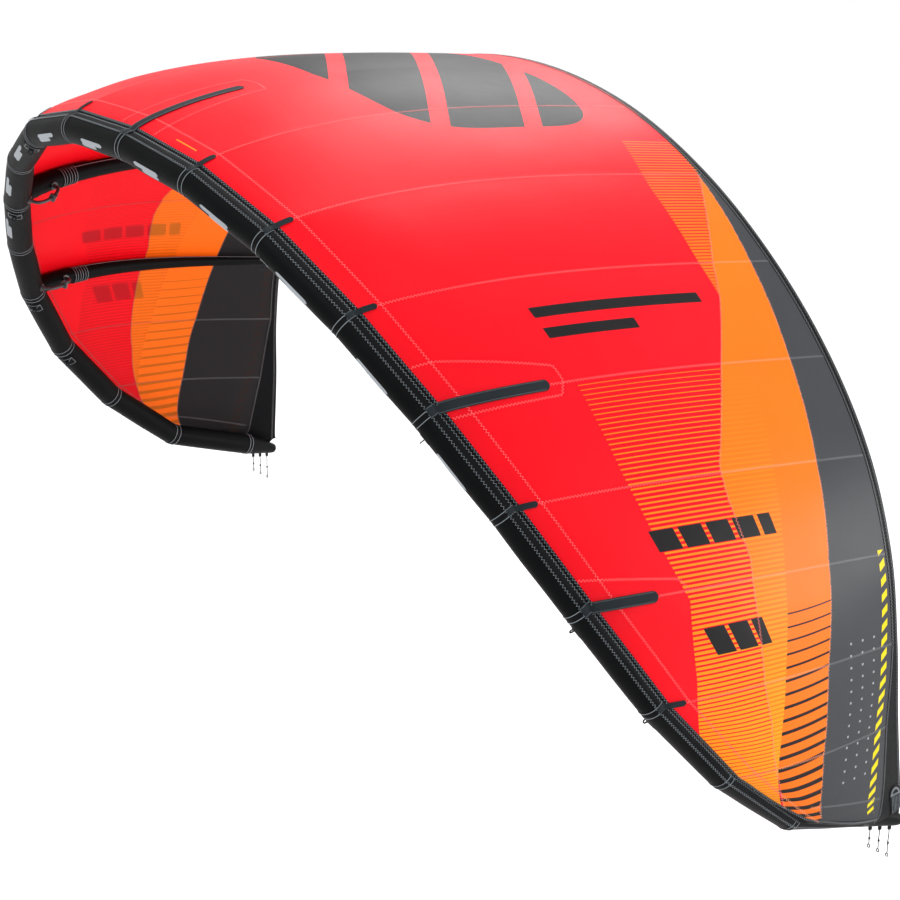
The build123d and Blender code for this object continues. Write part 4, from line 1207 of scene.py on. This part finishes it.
def build_zip():
    """Zip tape with its teeth and stitching, and the slider with its pull."""
    centre, axes, half = block_frame("leading_edge_zip")
    rings = [(end * half[0], half[1] * (0.8 if abs(end) == 1 else 1.0), half[2] * 0.8, -half[2] * 0.2)
             for end in (-1.0, -0.985, -0.95, 0.95, 0.985, 1.0)]
    Bag(lofted_block(centre, axes, rings)).build("zip_cloth", ZIP_TAPE, "zip", ["leading_edge_zip"], 50)
    face = centre + axes[2] * half[2] * 0.5
    count = int(half[0] * 2 / ZIP_TOOTH_PITCH) - 4
    teeth = Bag()
    for k in range(count):
        middle = face + axes[0] * (k - count / 2) * ZIP_TOOTH_PITCH
        reach = np.array([-0.0005, 0.0009, 0.0024])[:, None] * axes[1] * (1 if k % 2 else -1)
        teeth.add(ribbon(middle + reach, np.tile(axes[2], (3, 1)), TOOTH_WIDTHS, 0.0008), both=False)
    teeth.build("zip_teeth", ZIP_METAL, "zip", smooth=40)
    along = np.linspace(-0.97, 0.97, 60)[:, None] * half[0] * axes[0]
    rows = [face + along + axes[1] * side * half[1] * 0.72 for side in (-1, 1)]
    threads = [zigzag(row, np.tile(axes[2], (60, 1)), 0.0001, 0.0012, 0.005, 0.0004) for row in rows]
    Bag(*threads).build("zip_stitching", GREY_THREAD, "zip")
    centre, axes, half = block_frame("zip_slider")
    body = [(place * half[0], wide * half[1], tall * half[2], -0.25 * half[2])
            for place, wide, tall in SLIDER_SHAPE]
    turn = np.linspace(0, math.pi, 24)[:, None]
    bridge = centre - axes[0] * np.cos(turn) * half[0] * 0.55 + axes[2] * (0.2 + 0.7 * np.sin(turn)) * half[2]
    pull = centre + axes[2] * half[2] * 0.8 - axes[0] * 0.001
    slider = Bag(lofted_block(centre, axes, body), swept(bridge, 0.0009, 0.0),
                 lofted_block(pull, axes, PULL_SHAPE))
    rides = frame["nodes"]["zip_slider"]["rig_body"]
    slider.build("zip_slider_body", ZIP_METAL, "zip", ["zip_slider"], 50, body=rides)


def build_patch_stitching():
    """Sewn outline and cross on every bridle patch."""
    threads = Bag()
    corners = np.array([(-1, -1), (1, -1), (1, 1), (-1, 1), (-1, -1), (1, 1)])
    step = np.linspace(0, 1, 30)[:, None]
    for station in BRIDLE_STATIONS:
        size = np.array([0.017 / BAY_LENGTH, 0.026 / RADIUS[station]])
        middle = np.array([station + BRIDLE_SHIFT / BAY_LENGTH, BRIDLE_ANGLE])
        for first, last in zip(corners[:-1], corners[1:]):
            s, theta = (middle + size * (first + (last - first) * step)).T
            threads.add(ribbon(*on_tube(s, theta, 0.0019), 0.0008, 0.0007))
    threads.build("bridle_patch_stitching", GREY_THREAD, "webbing")


# ---- fittings kept from the CAD

def dress_fittings():
    """Materials for the CAD fittings that stay in view, and softened edges on the moulded and sewn ones."""
    finishes = {"leading_edge_bladder": BLADDER_FILM, "hose_ports": HOSE_PLASTIC,
                "strut_air_hoses": HOSE_PLASTIC, "hose_clip_bodies": CLIP_PLASTIC,
                "inflate_valve": VALVE_PLASTIC, "inflate_valve_cap": VALVE_PLASTIC,
                "dump_valve": VALVE_PLASTIC, "dump_valve_cap": VALVE_PLASTIC,
                "bridle_patches": BLACK_TAPE, "bridle_loops": WEBBING, "rear_line_anchors": WEBBING}
    for name, node in frame["nodes"].items():
        finish = CLIP_PLASTIC if name.startswith("hose_clip_lever") else finishes.get(name)
        if finish is None:
            continue
        node.data.materials.clear()
        node.data.materials.append(finish)
        if name not in ("leading_edge_bladder", "strut_air_hoses"):
            node.modifiers.new("weld", "WELD").merge_threshold = 1e-5
            bevel = node.modifiers.new("bevel", "BEVEL")
            bevel.width = 0.0005
            bevel.segments = 2
            bevel.limit_method = "ANGLE"
            bevel.angle_limit = math.radians(50)


# ---- stage

def build_stage():
    mesh = bpy.data.meshes.new("floor")
    corners = ((-1, -1), (1, -1), (1, 1), (-1, 1))
    points = [(FLOOR_REACH * x, FLOOR_REACH * y, CAD_LOW[2] - 1.1) for x, y in corners]
    mesh.from_pydata(points, [], [(0, 1, 2, 3)])
    sh = Shader("floor_paint")
    white = (1.0, 1.0, 1.0, 1.0)
    mesh.materials.append(sh.finish(sh.surface((0.5, 0.5, 0.5, 1.0), 0.9, Emission_Color=white,
                                               Emission_Strength=0.5)))
    placed("floor", mesh)
    world = bpy.data.worlds.new("studio")
    world.use_nodes = True
    background = world.node_tree.nodes["Background"].inputs
    background["Color"].default_value = white
    background["Strength"].default_value = 0.95
    bpy.context.scene.world = world
    for name, place, power, size in LAMPS:
        light = bpy.data.lights.new(name, "AREA")
        light.energy = power
        light.size = size
        turn = aim(unit(np.array(place) - LAMP_TARGET))
        placed(name, light, Matrix.Translation(place) @ turn).visible_camera = False


def aim(backward):
    """Rotation of a lamp or camera whose back faces a direction."""
    right = unit(np.cross([0.0, 0.0, 1.0], backward))
    return rotation(right, np.cross(backward, right), backward)


def rotation(*axes):
    return Matrix(np.stack(axes, axis=1).tolist()).to_4x4()


def build_camera():
    """The camera fitted to the picture."""
    camera = bpy.data.cameras.new("camera")
    camera.lens = 92.81
    camera.sensor_width = 36.0
    camera.shift_x = -0.0422
    camera.shift_y = -0.0153
    camera.clip_end = 200.0
    right = unit([0.61795, 0.78608, 0.01462])
    down = unit([0.32363, -0.23737, -0.91593])
    turn = rotation(right, -down, -np.cross(right, down))
    bpy.context.scene.camera = placed("camera", camera, Matrix.Translation((6.4765, -3.6418, 2.1956)) @ turn)
    bpy.context.scene.view_settings.view_transform = "Standard"


build_canopy()
build_hem()
build_canopy_stitching()
build_sleeves()
LEADING_THREADS = build_ring_tapes()
build_joint_strips(LEADING_THREADS)
build_marks()
build_straps()
build_struts()
build_corner()
build_gusset()
build_rear_lines()
build_zip()
build_patch_stitching()
dress_fittings()
build_stage()
build_camera()
